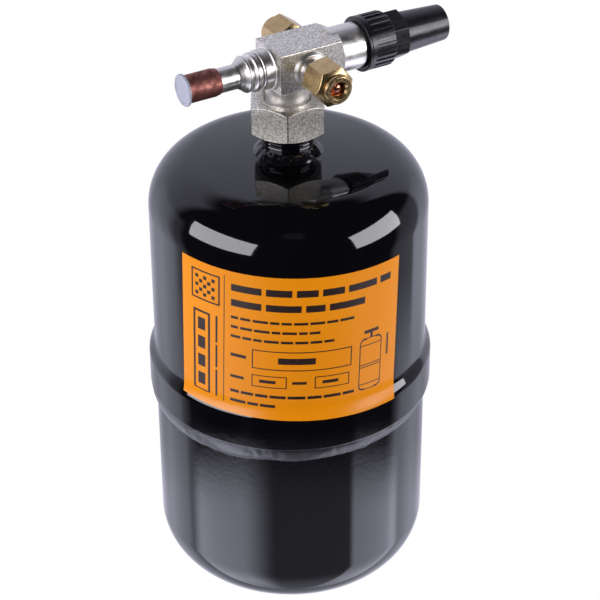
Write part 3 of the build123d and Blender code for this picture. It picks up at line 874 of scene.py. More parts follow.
def thread_ridge(radius: float, pitch: float, turns: float, low: float, ridge: float) -> bpy.types.Mesh:
    """Helical thread ridge about the local Z axis.

    Args:
        radius: Radius of the ridge's middle.
        pitch: Rise per turn.
        turns: Number of turns.
        low: Height of its lower end.
        ridge: Radius of the ridge's section.

    Returns:
        The ridge as a mesh.
    """
    field_ = NodeField("thread_ridge")
    rise = field_.named("Pitch", "NodeSocketFloat", pitch)
    rounds = field_.named("Turns", "NodeSocketFloat", turns)
    width = field_.named("Radius", "NodeSocketFloat", radius)
    section = field_.named("Section", "NodeSocketFloat", ridge)
    spiral = field_.node(
        "GeometryNodeCurveSpiral",
        Resolution=48,
        Rotations=rounds,
        Start_Radius=width,
        End_Radius=width,
        Height=field_.math("MULTIPLY", rise, rounds),
    )
    profile = field_.node("GeometryNodeCurvePrimitiveCircle", Resolution=8, Radius=section)
    swept = field_.node(
        "GeometryNodeCurveToMesh",
        Curve=spiral.outputs[0],
        Profile_Curve=profile.outputs[0],
        Fill_Caps=True,
    )
    mesh = field_.baked(swept.outputs[0], PAINT)
    mesh.transform(Matrix.Translation((0, 0, low)))
    return mesh


@dataclass
class Tank:
    """Two drawn cups, the lap joint between them and its weld."""

    radius: float = 62.0
    wall: float = 2.6
    height: float = 217.96
    foot_r: float = 20.0
    low_crown_r: float = 146.0
    low_knuckle_r: float = 25.0
    top_crown_r: float = 321.8
    top_knuckle_r: float = 23.0
    skirt_r: float = 64.7
    skirt_start: float = 123.6
    skirt_full: float = 117.0
    skirt_end: float = 101.6
    neck_hole_r: float = 9.1
    weld_low: float = 94.0
    sides: int = 256

    def surface(self, height: float) -> float:
        """Outer radius of the straight part at a height, the widening included."""
        share = (self.skirt_start - height) / (self.skirt_start - self.skirt_full)
        share = min(1.0, max(0.0, share))
        return self.radius + (self.skirt_r - self.radius) * share * share * (3 - 2 * share)

    def crown_height(self, radius: float) -> float:
        """Height of the upper head at a radius, on the crown or on the knuckle."""
        centre = self.height - self.top_crown_r
        knuckle = self.radius - self.top_knuckle_r
        inner = self.top_crown_r - self.top_knuckle_r
        if radius <= knuckle * self.top_crown_r / inner:
            return centre + math.sqrt(self.top_crown_r**2 - radius**2)
        rise = centre + math.sqrt(inner**2 - knuckle**2)
        return rise + math.sqrt(self.top_knuckle_r**2 - (radius - knuckle) ** 2)

    def seat(self, place: Matrix, across: float, aside: float) -> float:
        """Height in a leaning frame at which a line along its Z meets the head.

        Args:
            place: Frame of a fitting on the head.
            across: Local X.
            aside: Local Y.

        Returns:
            Local Z of the meeting point.
        """
        level = 0.0
        rise = place.col[2].z
        for _ in range(8):
            spot = place @ Vector((across, aside, level))
            level += (self.crown_height(math.hypot(spot.x, spot.y)) - spot.z) / rise
        return level

    def low_head(self, inset: float, steps: int) -> list[Corner]:
        """Outline of the lower head, from the foot to the wall."""
        centre = math.sqrt(self.low_crown_r**2 - self.foot_r**2)
        knuckle = self.radius - self.low_knuckle_r
        rise = centre - math.sqrt((self.low_crown_r - self.low_knuckle_r) ** 2 - knuckle**2)
        tangent = math.atan2(rise - centre, knuckle)
        start = math.asin((inset - centre) / (self.low_crown_r - inset))
        crown = arc((0, centre), self.low_crown_r - inset, start, tangent, steps)
        bend = arc((knuckle, rise), self.low_knuckle_r - inset, tangent, 0, steps)
        return crown + bend[1:]

    def top_head(self, inset: float, steps: int) -> list[Corner]:
        """Outline of the upper head, from the neck hole to the wall."""
        centre = self.height - self.top_crown_r
        knuckle = self.radius - self.top_knuckle_r
        reach = (self.top_crown_r - self.top_knuckle_r) ** 2 - knuckle**2
        rise = centre + math.sqrt(reach)
        tangent = math.atan2(rise - centre, knuckle)
        start = math.acos(self.neck_hole_r / (self.top_crown_r - inset))
        crown = arc((0, centre), self.top_crown_r - inset, start, tangent, steps)
        bend = arc((knuckle, rise), self.top_knuckle_r - inset, tangent, 0, steps)
        return crown + bend[1:]

    def lower_cup(self) -> bpy.types.Object:
        """Make the lower cup, closed at the foot."""
        rim = self.skirt_full - 0.5
        outside = self.low_head(0, 24)
        inside = self.low_head(self.wall, 6)
        outline = [(0, 0, 0), *outside, (self.radius, 60, 0), (self.radius, rim, 0)]
        outline += [(self.radius - self.wall, rim, 0), *reversed(inside), (0, self.wall, 0)]
        shape = Shape("lower_cup")
        shape.lathe(outline, sides=self.sides)
        return shape.finished(PAINT, Body.TANK, ["lower_shell"])

    def upper_cup(self) -> bpy.types.Object:
        """Make the upper cup with its expanded skirt."""
        outside = self.top_head(0, 28)
        inside = self.top_head(self.wall, 6)
        span = self.skirt_start - self.skirt_full
        heights = [self.skirt_start - span * step / 12 for step in range(13)]
        outline = [*outside, (self.radius, 160, 0)]
        outline += [(self.surface(height), height, 0) for height in heights]
        outline += [(self.skirt_r, self.skirt_end, 0.9)]
        outline += [(self.skirt_r - self.wall, self.skirt_end, 0)]
        outline += [(self.surface(height) - self.wall, height, 0) for height in reversed(heights[::3])]
        outline += list(reversed(inside))
        shape = Shape("upper_cup")
        shape.lathe(outline, loop=True, sides=self.sides)
        return shape.finished(PAINT, Body.TANK, ["upper_shell"])

    def girth_bead(self) -> bpy.types.Object:
        """Make the fillet weld with its wandering lower edge and ripples."""
        count = 720
        rings: list[list[Vector]] = []
        steps = 14
        for step in range(steps + 1):
            share = step / steps
            ring = []
            for index in range(count):
                angle = 2 * math.pi * index / count
                around = Vector((math.cos(angle), math.sin(angle), 0))
                wander = noise.noise(around * 3.1) * 1.1 + noise.noise(around * 14) * 0.45
                low = self.weld_low + wander + 1.3 * math.cos(angle + math.radians(30))
                ripple = noise.noise(Vector((angle * 26, share * 2.5, 1.7))) * 0.16
                ripple += noise.noise(Vector((angle * 7, share * 1.5, 8.1))) * 0.30
                high = self.skirt_end + 1.1 + noise.noise(around * 9 + Vector((0, 0, 4))) * 0.5
                swell = math.sin(math.pi * share) ** 0.8
                reach = self.radius - 0.35 + (self.skirt_r + 0.10 - self.radius) * share**0.75
                reach += swell * (0.55 + ripple)
                ring.append(Vector((reach * around.x, reach * around.y, low + (high - low) * share)))
            rings.append(ring)
        inner = self.radius - 0.6
        for height in (self.skirt_end + 1.0, self.weld_low + 2.5):
            ring = []
            for index in range(count):
                angle = 2 * math.pi * index / count
                ring.append(Vector((inner * math.cos(angle), inner * math.sin(angle), height)))
            rings.append(ring)
        shape = Shape("girth_bead")
        shape.skin(rings, loop=True)
        return shape.finished(GIRTH_PAINT, Body.TANK, ["girth_weld"])

    def build(self) -> None:
        """Make the tank's pieces."""
        self.lower_cup()
        self.upper_cup()
        self.girth_bead()


@dataclass
class Fittings:
    """Neck and inlet stub on the crown, with their weld beads."""

    tank: Tank
    neck_r: float = 11.7
    thread_r: float = 12.0
    neck_top: float = 236.6
    neck_foot: float = 214.0
    shoulder: float = 217.0
    thread_low: float = 222.4
    spigot_r: float = 9.0
    bore_r: float = 5.2
    pitch: float = 1.5
    bead_w: float = 3.7
    bead_h: float = 3.6
    stub_at: float = 38.0
    stub_foot: tuple[float, float] = (217.425, 18.46)
    stub_turn: float = 60.0
    stub_r: float = 6.3
    stub_l: float = 21.0
    socket_r: float = 4.825
    socket_l: float = 10.0
    stub_bore_r: float = 4.0

    def neck(self) -> bpy.types.Object:
        """Make the neck with its thread."""
        shape = Shape("outlet_neck_threaded")
        outline = [
            (self.bore_r, self.neck_top, 0.2),
            (self.neck_r - 0.9, self.neck_top, 0.3),
            (self.neck_r, self.neck_top - 0.9, 0.3),
            (self.neck_r, self.shoulder, 0),
            (self.spigot_r, self.shoulder, 0),
            (self.spigot_r, self.neck_foot, 0.3),
            (self.bore_r + 0.85, self.neck_foot, 0.2),
            (self.bore_r + 0.85, 226.0, 0),
            (self.bore_r, 226.0, 0),
        ]
        shape.lathe(outline, loop=True)
        turns = 8.0
        shape.add_mesh(thread_ridge(self.thread_r - 0.45, self.pitch, turns, self.thread_low, 0.45))
        return shape.finished(PAINT, Body.TANK, ["outlet_neck"])

    def bead(self, name: str, place: Matrix, inner: float, replaced: str, lumps: float) -> None:
        """Make a lumpy weld bead that lies on the crown round a fitting.

        Args:
            name: Name of the piece.
            place: Frame with its origin on the crown and Z along the fitting.
            inner: Radius of the fitting.
            replaced: CAD node that it stands for.
            lumps: Height of the lumps in millimetres.
        """
        count = 256
        steps = 12
        rings: list[list[Vector]] = []
        for step in range(steps + 1):
            share = step / steps
            ring = []
            for index in range(count):
                angle = 2 * math.pi * index / count
                around = Vector((math.cos(angle), math.sin(angle), inner))
                lump = noise.noise(around * 2.6) * lumps + noise.noise(around * 5.2) * lumps * 0.4
                lump += noise.noise(around * 8.0 + Vector((0, 0, 2.5 * share))) * lumps * 0.18
                width = self.bead_w + 0.6 * lump
                reach = inner - 0.2 + (width + 0.2) * share
                x, y = reach * math.cos(angle), reach * math.sin(angle)
                height = (self.bead_h + lump) * (1 - share) ** 1.05 * (1 + 0.45 * share)
                ring.append(Vector((x, y, self.tank.seat(place, x, y) + height)))
            rings.append(ring)
        for reach in (inner + self.bead_w - 0.5, inner - 0.2):
            ring = []
            for index in range(count):
                angle = 2 * math.pi * index / count
                x, y = reach * math.cos(angle), reach * math.sin(angle)
                ring.append(Vector((x, y, self.tank.seat(place, x, y) - 1.2)))
            rings.append(ring)
        shape = Shape(name, place)
        shape.skin(rings, loop=True)
        shape.finished(WELD_PAINT, Body.TANK, [replaced])

    def stub_frame(self) -> Matrix:
        """Frame of the inlet stub, at the place of the row's inlet mount."""
        turn = math.radians(self.stub_turn)
        foot, slant = self.stub_foot
        lean = math.radians(slant)
        origin = (self.stub_at * math.cos(turn), self.stub_at * math.sin(turn), foot)
        along = (math.sin(lean) * math.cos(turn), math.sin(lean) * math.sin(turn), math.cos(lean))
        return placed(origin, along, (-math.sin(turn), math.cos(turn), 0))

    def stub(self) -> bpy.types.Object:
        """Make the inlet stub with its socket."""
        shape = Shape("inlet_stub_painted", self.stub_frame())
        outline = [
            (self.stub_bore_r, -5.2, 0.3),
            (self.stub_r, -5.2, 0.3),
            (self.stub_r, self.stub_l - 0.6, 0.3),
            (self.stub_r - 0.6, self.stub_l, 0.3),
            (self.socket_r, self.stub_l, 0.25),
            (self.socket_r, self.stub_l - self.socket_l, 0.2),
            (self.stub_bore_r, self.stub_l - self.socket_l, 0.2),
        ]
        shape.lathe(outline, loop=True, sides=72)
        return shape.finished(PAINT, Body.TANK, ["inlet_stub"])

    def build(self) -> None:
        """Make the neck, the stub and both beads."""
        self.neck()
        self.stub()
        crown_top = Matrix.Translation((0, 0, self.tank.height))
        self.bead("neck_bead", crown_top, self.neck_r, "neck_weld", 1.7)
        self.bead("inlet_bead", self.stub_frame(), self.stub_r, "inlet_weld", 0.5)


@dataclass
class NutForm:
    """Section of a hexagon nut with turned bevels."""

    across: float
    low: float
    high: float
    turn: float
    rounding: float = 0.25
    land_inset: float = 0.25
    bevel_deg: float = 30.0

    def outline(self) -> list[Point]:
        """Rounded hexagon of the nut."""
        return hexagon(self.across, self.rounding, self.turn)

    def wall(self, low_bevel: bool = True, high_bevel: bool = True) -> list[list[Vector]]:
        """Rings of the hexagon's outside, with the curved edges that the bevels leave.

        Args:
            low_bevel: Whether the low end is bevelled.
            high_bevel: Whether the high end is bevelled.

        Returns:
            Rings from the low land to the high land.
        """
        land = self.across / 2 - self.land_inset
        slope = math.tan(math.radians(self.bevel_deg))
        edge = 0.12
        outline = self.outline()

        def at(radius: float, point: Point, height: float) -> Vector:
            """Point at a radius in the direction of an outline point."""
            length = math.hypot(*point)
            return Vector((point[0] * radius / length, point[1] * radius / length, height))

        def bevelled(end: float, way: int) -> list[list[Vector]]:
            """Rings of one bevelled end, from its land outwards."""
            rows: list[list[Vector]] = [[], [], [], []]
            for point in outline:
                reach = math.hypot(*point)
                drop = (reach - land) * slope
                rows[0].append(at(land - 0.15, point, end))
                rows[1].append(at(land + 0.05, point, end - way * 0.04))
                rows[2].append(at(reach - edge, point, end - way * max(0.05, drop - edge * slope)))
                rows[3].append(at(reach, point, end - way * (max(0.05, drop) + edge)))
            return rows

        def square(end: float, way: int) -> list[list[Vector]]:
            """Rings of one square end, from its land outwards."""
            first = [at(land - 0.15, point, end) for point in outline]
            second = [at(math.hypot(*point) - edge, point, end) for point in outline]
            third = [at(math.hypot(*point), point, end - way * edge) for point in outline]
            return [first, second, third]

        low_rows = bevelled(self.low, -1) if low_bevel else square(self.low, -1)
        high_rows = bevelled(self.high, 1) if high_bevel else square(self.high, 1)
        return low_rows + list(reversed(high_rows))

    def rounds(self, corners: Sequence[Corner]) -> list[list[Vector]]:
        """Round rings with the same count as the hexagon.

        Args:
            corners: Radius, height and rounding of each corner.

        Returns:
            One ring for each point of the softened outline.
        """
        directions = [Vector((x, y)).normalized() for x, y in self.outline()]
        rings = []
        for radius, height in softened(corners, False):
            rings.append([Vector((radius * d.x, radius * d.y, height)) for d in directions])
        return rings


@dataclass
class UnionJoint:
    """Union nut between the neck and the valve's tail."""

    across: float = 31.5
    low: float = 228.5
    height: float = 15.3
    hole_r: float = 10.1
    thread_r: float = 12.1
    lip_low: float = 240.65
    gasket_top: float = 237.6

    def build(self) -> None:
        """Make the nut."""
        high = self.low + self.height
        form = NutForm(self.across, self.low, high, 0.0, 0.35, 0.3)
        inside = form.rounds(
            [
                (self.across / 2 - 0.6, high, 0),
                (self.hole_r + 1.3, high, 0.2),
                (self.hole_r, high - 0.9, 0.2),
                (self.hole_r, self.lip_low, 0.1),
                (self.thread_r, self.lip_low, 0.1),
                (self.thread_r, self.low + 0.9, 0.2),
                (self.thread_r + 0.9, self.low, 0.2),
                (self.across / 2 - 0.6, self.low, 0),
            ]
        )
        shape = Shape("union_nut_blasted")
        shape.skin(form.wall() + inside, loop=True)
        shape.finished(FORGED_NUT, Body.TANK, ["union_nut"])


@dataclass
class ValveBody:
    """Forged block with tail, outlet hub, spindle boss and flare ports."""

    left: float = -9.3
    right: float = 23.5
    width: float = 21.6
    height: float = 18.8
    edge_r: float = 0.45
    end_r: float = 9.2
    corner_x: float = 20.4
    collar_z: float = 237.6
    collar_r: float = 11.4
    land_r: float = 9.8
    tail_r: float = 9.5
    tail_bore_r: float = 4.5
    ring_r: float = 9.8
    hub_r: float = 8.9
    hub_end: float = -15.5
    boss_r: float = 10.2
    boss_end: float = 34.0
    cap_thread_r: float = 9.6
    body_end: float = 44.0
    port_x: dict[Side, float] = field(default_factory=lambda: {Side.FRONT: 5.3, Side.REAR: 11.5})
    port_cut: dict[Side, float] = field(default_factory=lambda: {Side.FRONT: 0.0, Side.REAR: 2.5})
    port_bore_r: dict[Side, float] = field(default_factory=lambda: {Side.FRONT: 2.2, Side.REAR: 1.6})

    def block(self) -> Shape:
        """Block with rounded edges and its turned end."""
        half_w = self.width / 2
        half_h = self.height / 2
        corners = [(half_w, half_h), (-half_w, half_h), (-half_w, -half_h), (half_w, -half_h)]
        outline = rounded_polygon(corners, self.edge_r, 30, 4)
        corner = math.hypot(half_w, half_h)
        slope = (self.right - self.corner_x) / (corner - self.end_r)
        edge = 0.3
        shrink = 1 - edge / half_h

        def ring(scale: float, height: float) -> list[Vector]:
            """Block outline scaled towards the axis."""
            return [Vector((x * scale, y * scale, height)) for x, y in outline]

        def turned(inset: float) -> list[Vector]:
            """Edge that the cone leaves on the block's sides."""
            points = []
            for x, y in outline:
                reach = math.hypot(x, y)
                height = self.right - max(0.0, reach - self.end_r) * slope
                share = 1 - inset / reach
                points.append(Vector((x * share, y * share, height + inset * slope - (0.12 if not inset else 0))))
            return points

        def flat(radius: float, height: float) -> list[Vector]:
            """Round ring with the outline's directions."""
            points = []
            for x, y in outline:
                reach = math.hypot(x, y)
                points.append(Vector((x * radius / reach, y * radius / reach, height)))
            return points

        shape = Shape("block", VALVE_FRAME)
        rings = [flat(0, self.left), flat(5, self.left), ring(shrink, self.left)]
        rings += [ring(1 - 0.25 * edge / half_h, self.left + 0.25 * edge), ring(1, self.left + edge)]
        rings += [ring(1, 0), ring(1, 10), turned(0), turned(0.15)]
        rings += [flat(self.end_r + 0.02, self.right), flat(5, self.right), flat(0, self.right)]
        shape.skin(rings)
        return shape

    def tail(self) -> Shape:
        """Round tail with its collar."""
        shape = Shape("tail")
        shape.lathe(
            [
                (0, self.collar_z, 0),
                (self.collar_r, self.collar_z, 0.2),
                (self.collar_r, self.collar_z + 3, 0.2),
                (self.land_r, self.collar_z + 3, 0.1),
                (self.land_r, self.collar_z + 5.4, 0.1),
                (self.tail_r, self.collar_z + 5.7, 0.1),
                (self.tail_r, 249.4, 0.4),
                (self.tail_r + 0.4, 250.4, 0),
                (self.tail_r, 252.0, 0),
                (0, 252.0, 0),
            ]
        )
        return shape

    def hub(self) -> Shape:
        """Outlet hub with the thin ring at the block."""
        shape = Shape("hub", VALVE_FRAME)
        shape.lathe(
            [
                (0, self.left + 1, 0),
                (self.ring_r, self.left + 1, 0),
                (self.ring_r, -10.6, 0.45),
                (self.hub_r, -10.75, 0.15),
                (self.hub_r, self.hub_end, 1.1),
                (0, self.hub_end, 0),
            ]
        )
        return shape

    def boss(self) -> Shape:
        """Spindle boss with the cap's thread land."""
        shape = Shape("boss", VALVE_FRAME)
        shape.lathe(
            [
                (0, self.right - 4, 0),
                (self.boss_r, self.right - 4, 0),
                (self.boss_r, self.boss_end, 0.3),
                (self.cap_thread_r, self.boss_end, 0.1),
                (self.cap_thread_r, self.body_end - 0.8, 0.2),
                (self.cap_thread_r - 0.8, self.body_end, 0.2),
                (0, self.body_end, 0),
            ]
        )
        return shape

    def port(self, side: Side) -> Shape:
        """Flare port with its shoulder and coned tip."""
        half = self.width / 2
        cut = self.port_cut[side]
        place = placed((self.port_x[side], 0, AXIS_Z), (0, side.value, 0), (1, 0, 0))
        shape = Shape("port_" + side.name.lower(), place)
        shape.lathe(
            [
                (0, half - 2, 0),
                (8.2, half - 2, 0),
                (8.2, half + 0.05, 0.1),
                (7.0, half + 1.2, 0.5),
                (5.5, half + 1.4, 0.3),
                (5.5, 27.2 - cut, 0.2),
                (4.7, 28.0 - cut, 0.2),
                (2.6, 30.0 - cut, 0.2),
                (0, 30.0 - cut, 0),
            ],
            sides=72,
        )
        return shape

    def bores(self) -> list[Shape]:
        """Chamber, passage, stuffing box, tail bore and port bores."""
        main = Shape("main_bore", VALVE_FRAME)
        main.lathe(
            [
                (0, self.hub_end - 1, 0),
                (6.2, self.hub_end - 1, 0),
                (6.2, 9.0, 0),
                (4.6, 9.0, 0),
                (4.6, 13.0, 0),
                (6.0, 13.0, 0),
                (6.0, 28.0, 0),
                (7.0, 28.0, 0),
                (7.0, self.body_end + 1, 0),
                (0, self.body_end + 1, 0),
            ],
            sides=72,
        )
        drills = [main]
        tail = Shape("tail_bore")
        tail_r = self.tail_bore_r
        low = self.collar_z - 1
        tail.lathe([(0, low, 0), (tail_r, low, 0), (tail_r, AXIS_Z, 0), (0, AXIS_Z, 0)], sides=48)
        drills.append(tail)
        for side in Side:
            place = placed((self.port_x[side], 0, AXIS_Z), (0, side.value, 0), (1, 0, 0))
            drill = Shape("bore_" + side.name.lower(), place)
            reach = self.port_bore_r[side]
            drill.lathe([(0, 0.3, 0), (reach, 0.3, 0), (reach, 31, 0), (0, 31, 0)], sides=36)
            drills.append(drill)
        return drills

    def build(self) -> None:
        """Unite the body and give its turned faces their own finish."""
        solids = [self.block(), self.tail(), self.hub(), self.boss(), self.port(Side.FRONT)]
        solids.append(self.port(Side.REAR))
        mesh = fused("valve_body_forged", solids, self.bores())
        piece = hand_over(mesh, "valve_body_forged", FORGED, Body.TANK, ["valve_body"])
        self.dress_turned(piece)

    def dress_turned(self, piece: bpy.types.Object) -> None:
        """Put the bright finish on the faces that a lathe has cut.

        Args:
            piece: The united body.
        """
        mesh = piece.data
        mesh.materials.append(TURNED.material())
        mesh.materials.append(TURNED_UPRIGHT.material())
        half_h = self.height / 2
        for face in mesh.polygons:
            spot = face.center / MM
            below = AXIS_Z - half_h - 0.05
            past_side = abs(spot.y) > self.width / 2 + 0.04
            past_end = spot.x < self.left - 0.02 or spot.x > self.right + 0.02
            if past_side or past_end:
                face.material_index = 1
            elif spot.z < below:
                face.material_index = 2


@dataclass
class Outlet:
    """Outlet nipple, copper tube end and transport plug."""

    spigot_r: float = 6.15
    bore_r: float = 4.0
    flange_r: float = 8.5
    waist_r: float = 6.75
    bead_r: float = 8.05
    tube_r: float = 5.3
    copper_r: float = 6.1
    copper_start: float = -34.2
    copper_end: float = -49.4
    socket_r: float = 4.825
    plug_r: float = 7.0

    def nipple(self) -> None:
        """Make the turned nipple."""
        shape = Shape("outlet_nipple_turned", VALVE_FRAME)
        outline: list[Corner] = [
            (self.bore_r, -4.0, 0.1),
            (self.spigot_r, -4.0, 0.2),
            (self.spigot_r, -15.5, 0),
            (7.6, -15.55, 0),
            (7.6, -16.3, 0),
            (self.flange_r, -16.4, 0.5),
            (self.flange_r, -18.4, 0.8),
            (self.waist_r, -19.3, 0.6),
            (self.waist_r + 0.05, -20.2, 0.4),
        ]
        outline += arc((self.bead_r - 0.95, -21.45), 0.95, 1.15, -1.15, 10)
        outline += [
            (6.5, -23.6, 1.2),
            (self.tube_r, -25.4, 1.6),
            (self.tube_r, self.copper_start - 3.0, 0.2),
            (self.bore_r, self.copper_start - 3.0, 0.1),
        ]
        shape.lathe(outline, loop=True)
        shape.finished(TURNED, Body.TANK, ["outlet_nipple"])

    def tube(self) -> None:
        """Make the copper tube end."""
        seam = self.copper_start
        shape = Shape("outlet_tube_copper", VALVE_FRAME)
        shape.lathe(
            [
                (self.tube_r + 0.05, seam, 0.05),
                (self.tube_r + 0.35, seam, 0.15),
                (self.copper_r, seam - 2.0, 1.0),
                (self.copper_r, self.copper_end, 0.3),
                (self.socket_r, self.copper_end, 0.2),
                (self.socket_r, self.copper_end + 10, 0.1),
                (self.bore_r, self.copper_end + 10, 0.1),
                (self.bore_r, seam - 3.05, 0.1),
                (self.tube_r + 0.05, seam - 3.05, 0.1),
            ],
            loop=True,
        )
        shape.finished(COPPER, Body.TANK, ["outlet_tube"])

    def plug(self) -> None:
        """Make the transport plug with its rim and shallow dish."""
        seat = self.copper_end - 0.05
        face = seat - 1.2
        insert = self.socket_r - 0.05
        shape = Shape("transport_plug_pe", VALVE_FRAME)
        shape.lathe(
            [
                (0, seat, 0),
                (insert - 0.9, seat, 0.2),
                (insert - 0.9, seat + 8.5, 0.2),
                (insert - 0.3, seat + 8.5, 0.15),
                (insert, seat + 7.5, 0.4),
                (insert, seat, 0.15),
                (self.plug_r, seat, 0.35),
                (self.plug_r, face, 0.5),
                (self.plug_r - 1.0, face, 0.2),
                (self.plug_r - 1.35, face + 0.3, 0.2),
                (0, face + 0.35, 0),
            ]
        )
        shape.finished(PLUG_PLASTIC, Body.PLUG, ["transport_plug"])

    def build(self) -> None:
        """Make the outlet's pieces."""
        self.nipple()
        self.tube()
        self.plug()


@dataclass
class SpindleCap:
    """Black cap with a slotted ring, a hexagon and a tapered end."""

    mouth: float = 34.8
    rim_r: float = 12.3
    rim_l: float = 0.9
    ring_r: float = 12.2
    slot_start: float = 37.8
    ring_end: float = 48.8
    slots: int = 28
    slot_w: float = 1.5
    slot_depth: float = 0.95
    hex_across: float = 19.7
    hex_l: float = 7.5
    hex_turn: float = 145.0
    nose_r: float = 9.2
    tip_r: float = 8.0
    end: float = 78.0

    def land(self) -> bpy.types.Object:
        """Make one land between two slots, flared where the slots are rounded."""
        pitch = 2 * math.pi * self.ring_r / self.slots
        half_pitch = pitch / 2 + 0.02
        half_land = (pitch - self.slot_w) / 2
        floor = self.ring_r - self.slot_depth - 0.25
        reach = self.slot_w / 2
        edge = 0.12
        stations: list[tuple[float, float]] = [(self.slot_start - 0.15, half_pitch)]
        for step in range(7):
            angle = math.pi / 2 * step / 6
            stations.append(
                (self.slot_start + reach * (1 - math.cos(angle)), half_pitch - reach * math.sin(angle))
            )
        stations += [(self.ring_end - 1.4, half_land), (self.ring_end - 0.3, half_land * 0.9)]
        mesh = bmesh.new()
        rows = []
        for station, (height, half) in enumerate(stations):
            lower = 0.55 if station == len(stations) - 1 else 0.0
            top = self.ring_r - lower
            section = [(floor, -half), (top - edge, -half), (top, -half + edge)]
            section += [(top + 0.02, 0.0), (top, half - edge), (top - edge, half), (floor, half)]
            row = []
            for radius, across in section:
                angle = across / self.ring_r
                row.append(mesh.verts.new((radius * math.cos(angle), radius * math.sin(angle), height)))
            rows.append(row)
        for low, high in zip(rows, rows[1:]):
            for index in range(len(low)):
                ahead = (index + 1) % len(low)
                mesh.faces.new((low[index], low[ahead], high[ahead], high[index]))
        mesh.faces.new(rows[0])
        mesh.faces.new(list(reversed(rows[-1])))
        bmesh.ops.recalc_face_normals(mesh, faces=mesh.faces)
        data = bpy.data.meshes.new("cap_land")
        mesh.to_mesh(data)
        mesh.free()
        piece = bpy.data.objects.new("cap_land", data)
        bpy.context.scene.collection.objects.link(piece)
        return piece

    def build(self) -> None:
        """Make the cap in one piece."""
        shape = Shape("spindle_cap_moulded", VALVE_FRAME)
        hex_end = self.ring_end + self.hex_l
        form = NutForm(self.hex_across, self.ring_end - 0.6, hex_end, self.hex_turn, 0.5, 0.2, 28.0)
        floor = self.ring_r - self.slot_depth
        nose = form.rounds(
            [
                (self.hex_across / 2 - 0.4, hex_end, 0),
                (self.nose_r, hex_end, 0.15),
                (self.nose_r - 0.03, hex_end + 0.6, 0.3),
                (self.tip_r + 0.05, self.end - 1.0, 0),
                (self.tip_r, self.end, 2.4),
                (0, self.end, 0),
            ]
        )
        skirt = form.rounds(
            [
                (0, 73.0, 0),
                (5.0, 73.0, 0.4),
                (5.0, 50.0, 0.2),
                (7.4, 50.0, 0.2),
                (7.4, 45.2, 0.1),
                (9.7, 45.2, 0.1),
                (9.7, self.mouth + 0.6, 0.2),
                (10.4, self.mouth, 0.2),
                (self.rim_r, self.mouth, 0.35),
                (self.rim_r, self.mouth + self.rim_l, 0.2),
                (self.ring_r - 0.12, self.mouth + self.rim_l + 0.1, 0.1),
                (self.ring_r, self.mouth + self.rim_l + 0.5, 0.1),
                (self.ring_r, self.slot_start - 0.1, 0.1),
                (floor, self.slot_start - 0.08, 0),
                (floor, self.ring_end - 0.5, 0.3),
                (floor - 0.4, self.ring_end, 0.2),
                (self.hex_across / 2 - 0.35, self.ring_end, 0),
            ]
        )
        walls = form.wall(False, True)[1:]
        shape.skin(skirt + walls + nose)
        land = self.land()
        shape.add_mesh(ring_of(land, self.slots, CAP_PLASTIC))
        data = land.data
        bpy.data.objects.remove(land)
        bpy.data.meshes.remove(data)
        shape.finished(CAP_PLASTIC, Body.CAP, ["spindle_cap"])


@dataclass
class FlarePort:
    """Brass cap nut and copper bonnet of one flare port."""

    side: Side
    port_x: float
    nut_body: Body
    bonnet_body: Body
    cut: float = 0.0
    turn: float = 9.0
    across: float = 15.8
    start: float = 17.0
    hex_end: float = 31.6
    end: float = 34.1
    neck_r: float = 5.7
    collar_r: float = 6.5
    collar_t: float = 1.9
    hole_r: float = 3.4
    land_inset: float = 1.2

    def place(self) -> Matrix:
        """Frame of the port, outwards from the valve axis, with its shift towards the block."""
        shift = self.side.value * self.cut
        return placed((self.port_x, -shift, AXIS_Z), (0, self.side.value, 0), (1, 0, 0))

    def nut(self) -> None:
        """Make the nut with its broad outer bevel, turned neck and collar."""
        name = self.side.name.lower()
        start = max(self.start, 14.6 + self.cut)
        shape = Shape(name + "_flare_nut_brass", self.place())
        form = NutForm(self.across, start, self.hex_end, self.turn, 0.2, self.land_inset, 33.0)
        outside = form.rounds(
            [
                (self.across / 2 - self.land_inset - 0.2, self.hex_end, 0),
                (self.neck_r, self.hex_end, 0.15),
                (self.neck_r, self.end - self.collar_t, 0.15),
                (self.collar_r - 0.3, self.end - self.collar_t, 0.1),
                (self.collar_r, self.end - self.collar_t + 0.3, 0.2),
                (self.collar_r, self.end - 0.5, 0.2),
                (self.collar_r - 0.6, self.end, 0.2),
                (self.hole_r + 0.9, self.end, 0.15),
                (self.hole_r, self.end - 0.9, 0.15),
                (self.hole_r, 30.9, 0.1),
                (5.2, 28.8, 0.1),
                (5.6, 28.4, 0.1),
                (5.6, start + 0.5, 0.2),
                (6.1, start, 0.2),
                (self.across / 2 - self.land_inset - 0.2, start, 0),
            ]
        )
        shape.skin(form.wall() + outside, loop=True)
        shape.finished(BRASS, self.nut_body, [name + "_flare_nut"])

    def bonnet(self) -> None:
        """Make the copper bonnet with its small domed end deep in the nut's hole."""
        name = self.side.name.lower()
        shape = Shape(name + "_bonnet_copper", self.place())
        dome = 2.35
        tip = 30.07
        shape.lathe(
            [
                (0, 31.5, 0),
                (1.4, 31.2, 0.4),
                (1.8, 30.5, 0.3),
                (2.0, tip, 0),
                (2.6, tip, 0),
                (4.3, 28.47, 0),
                (4.3, 29.46, 0.1),
                (self.hole_r - 0.05, 30.3, 0.2),
                (dome, 30.6, 0.15),
                (dome, 31.2, 0.4),
                (dome - 0.4, 32.2, 0.7),
                (1.1, 32.75, 0.6),
                (0, 32.85, 0),
            ],
            sides=64,
        )
        shape.finished(BRIGHT_COPPER, self.bonnet_body, [name + "_bonnet"])

    def build(self) -> None:
        """Make the nut and its bonnet."""
        self.nut()
        self.bonnet()


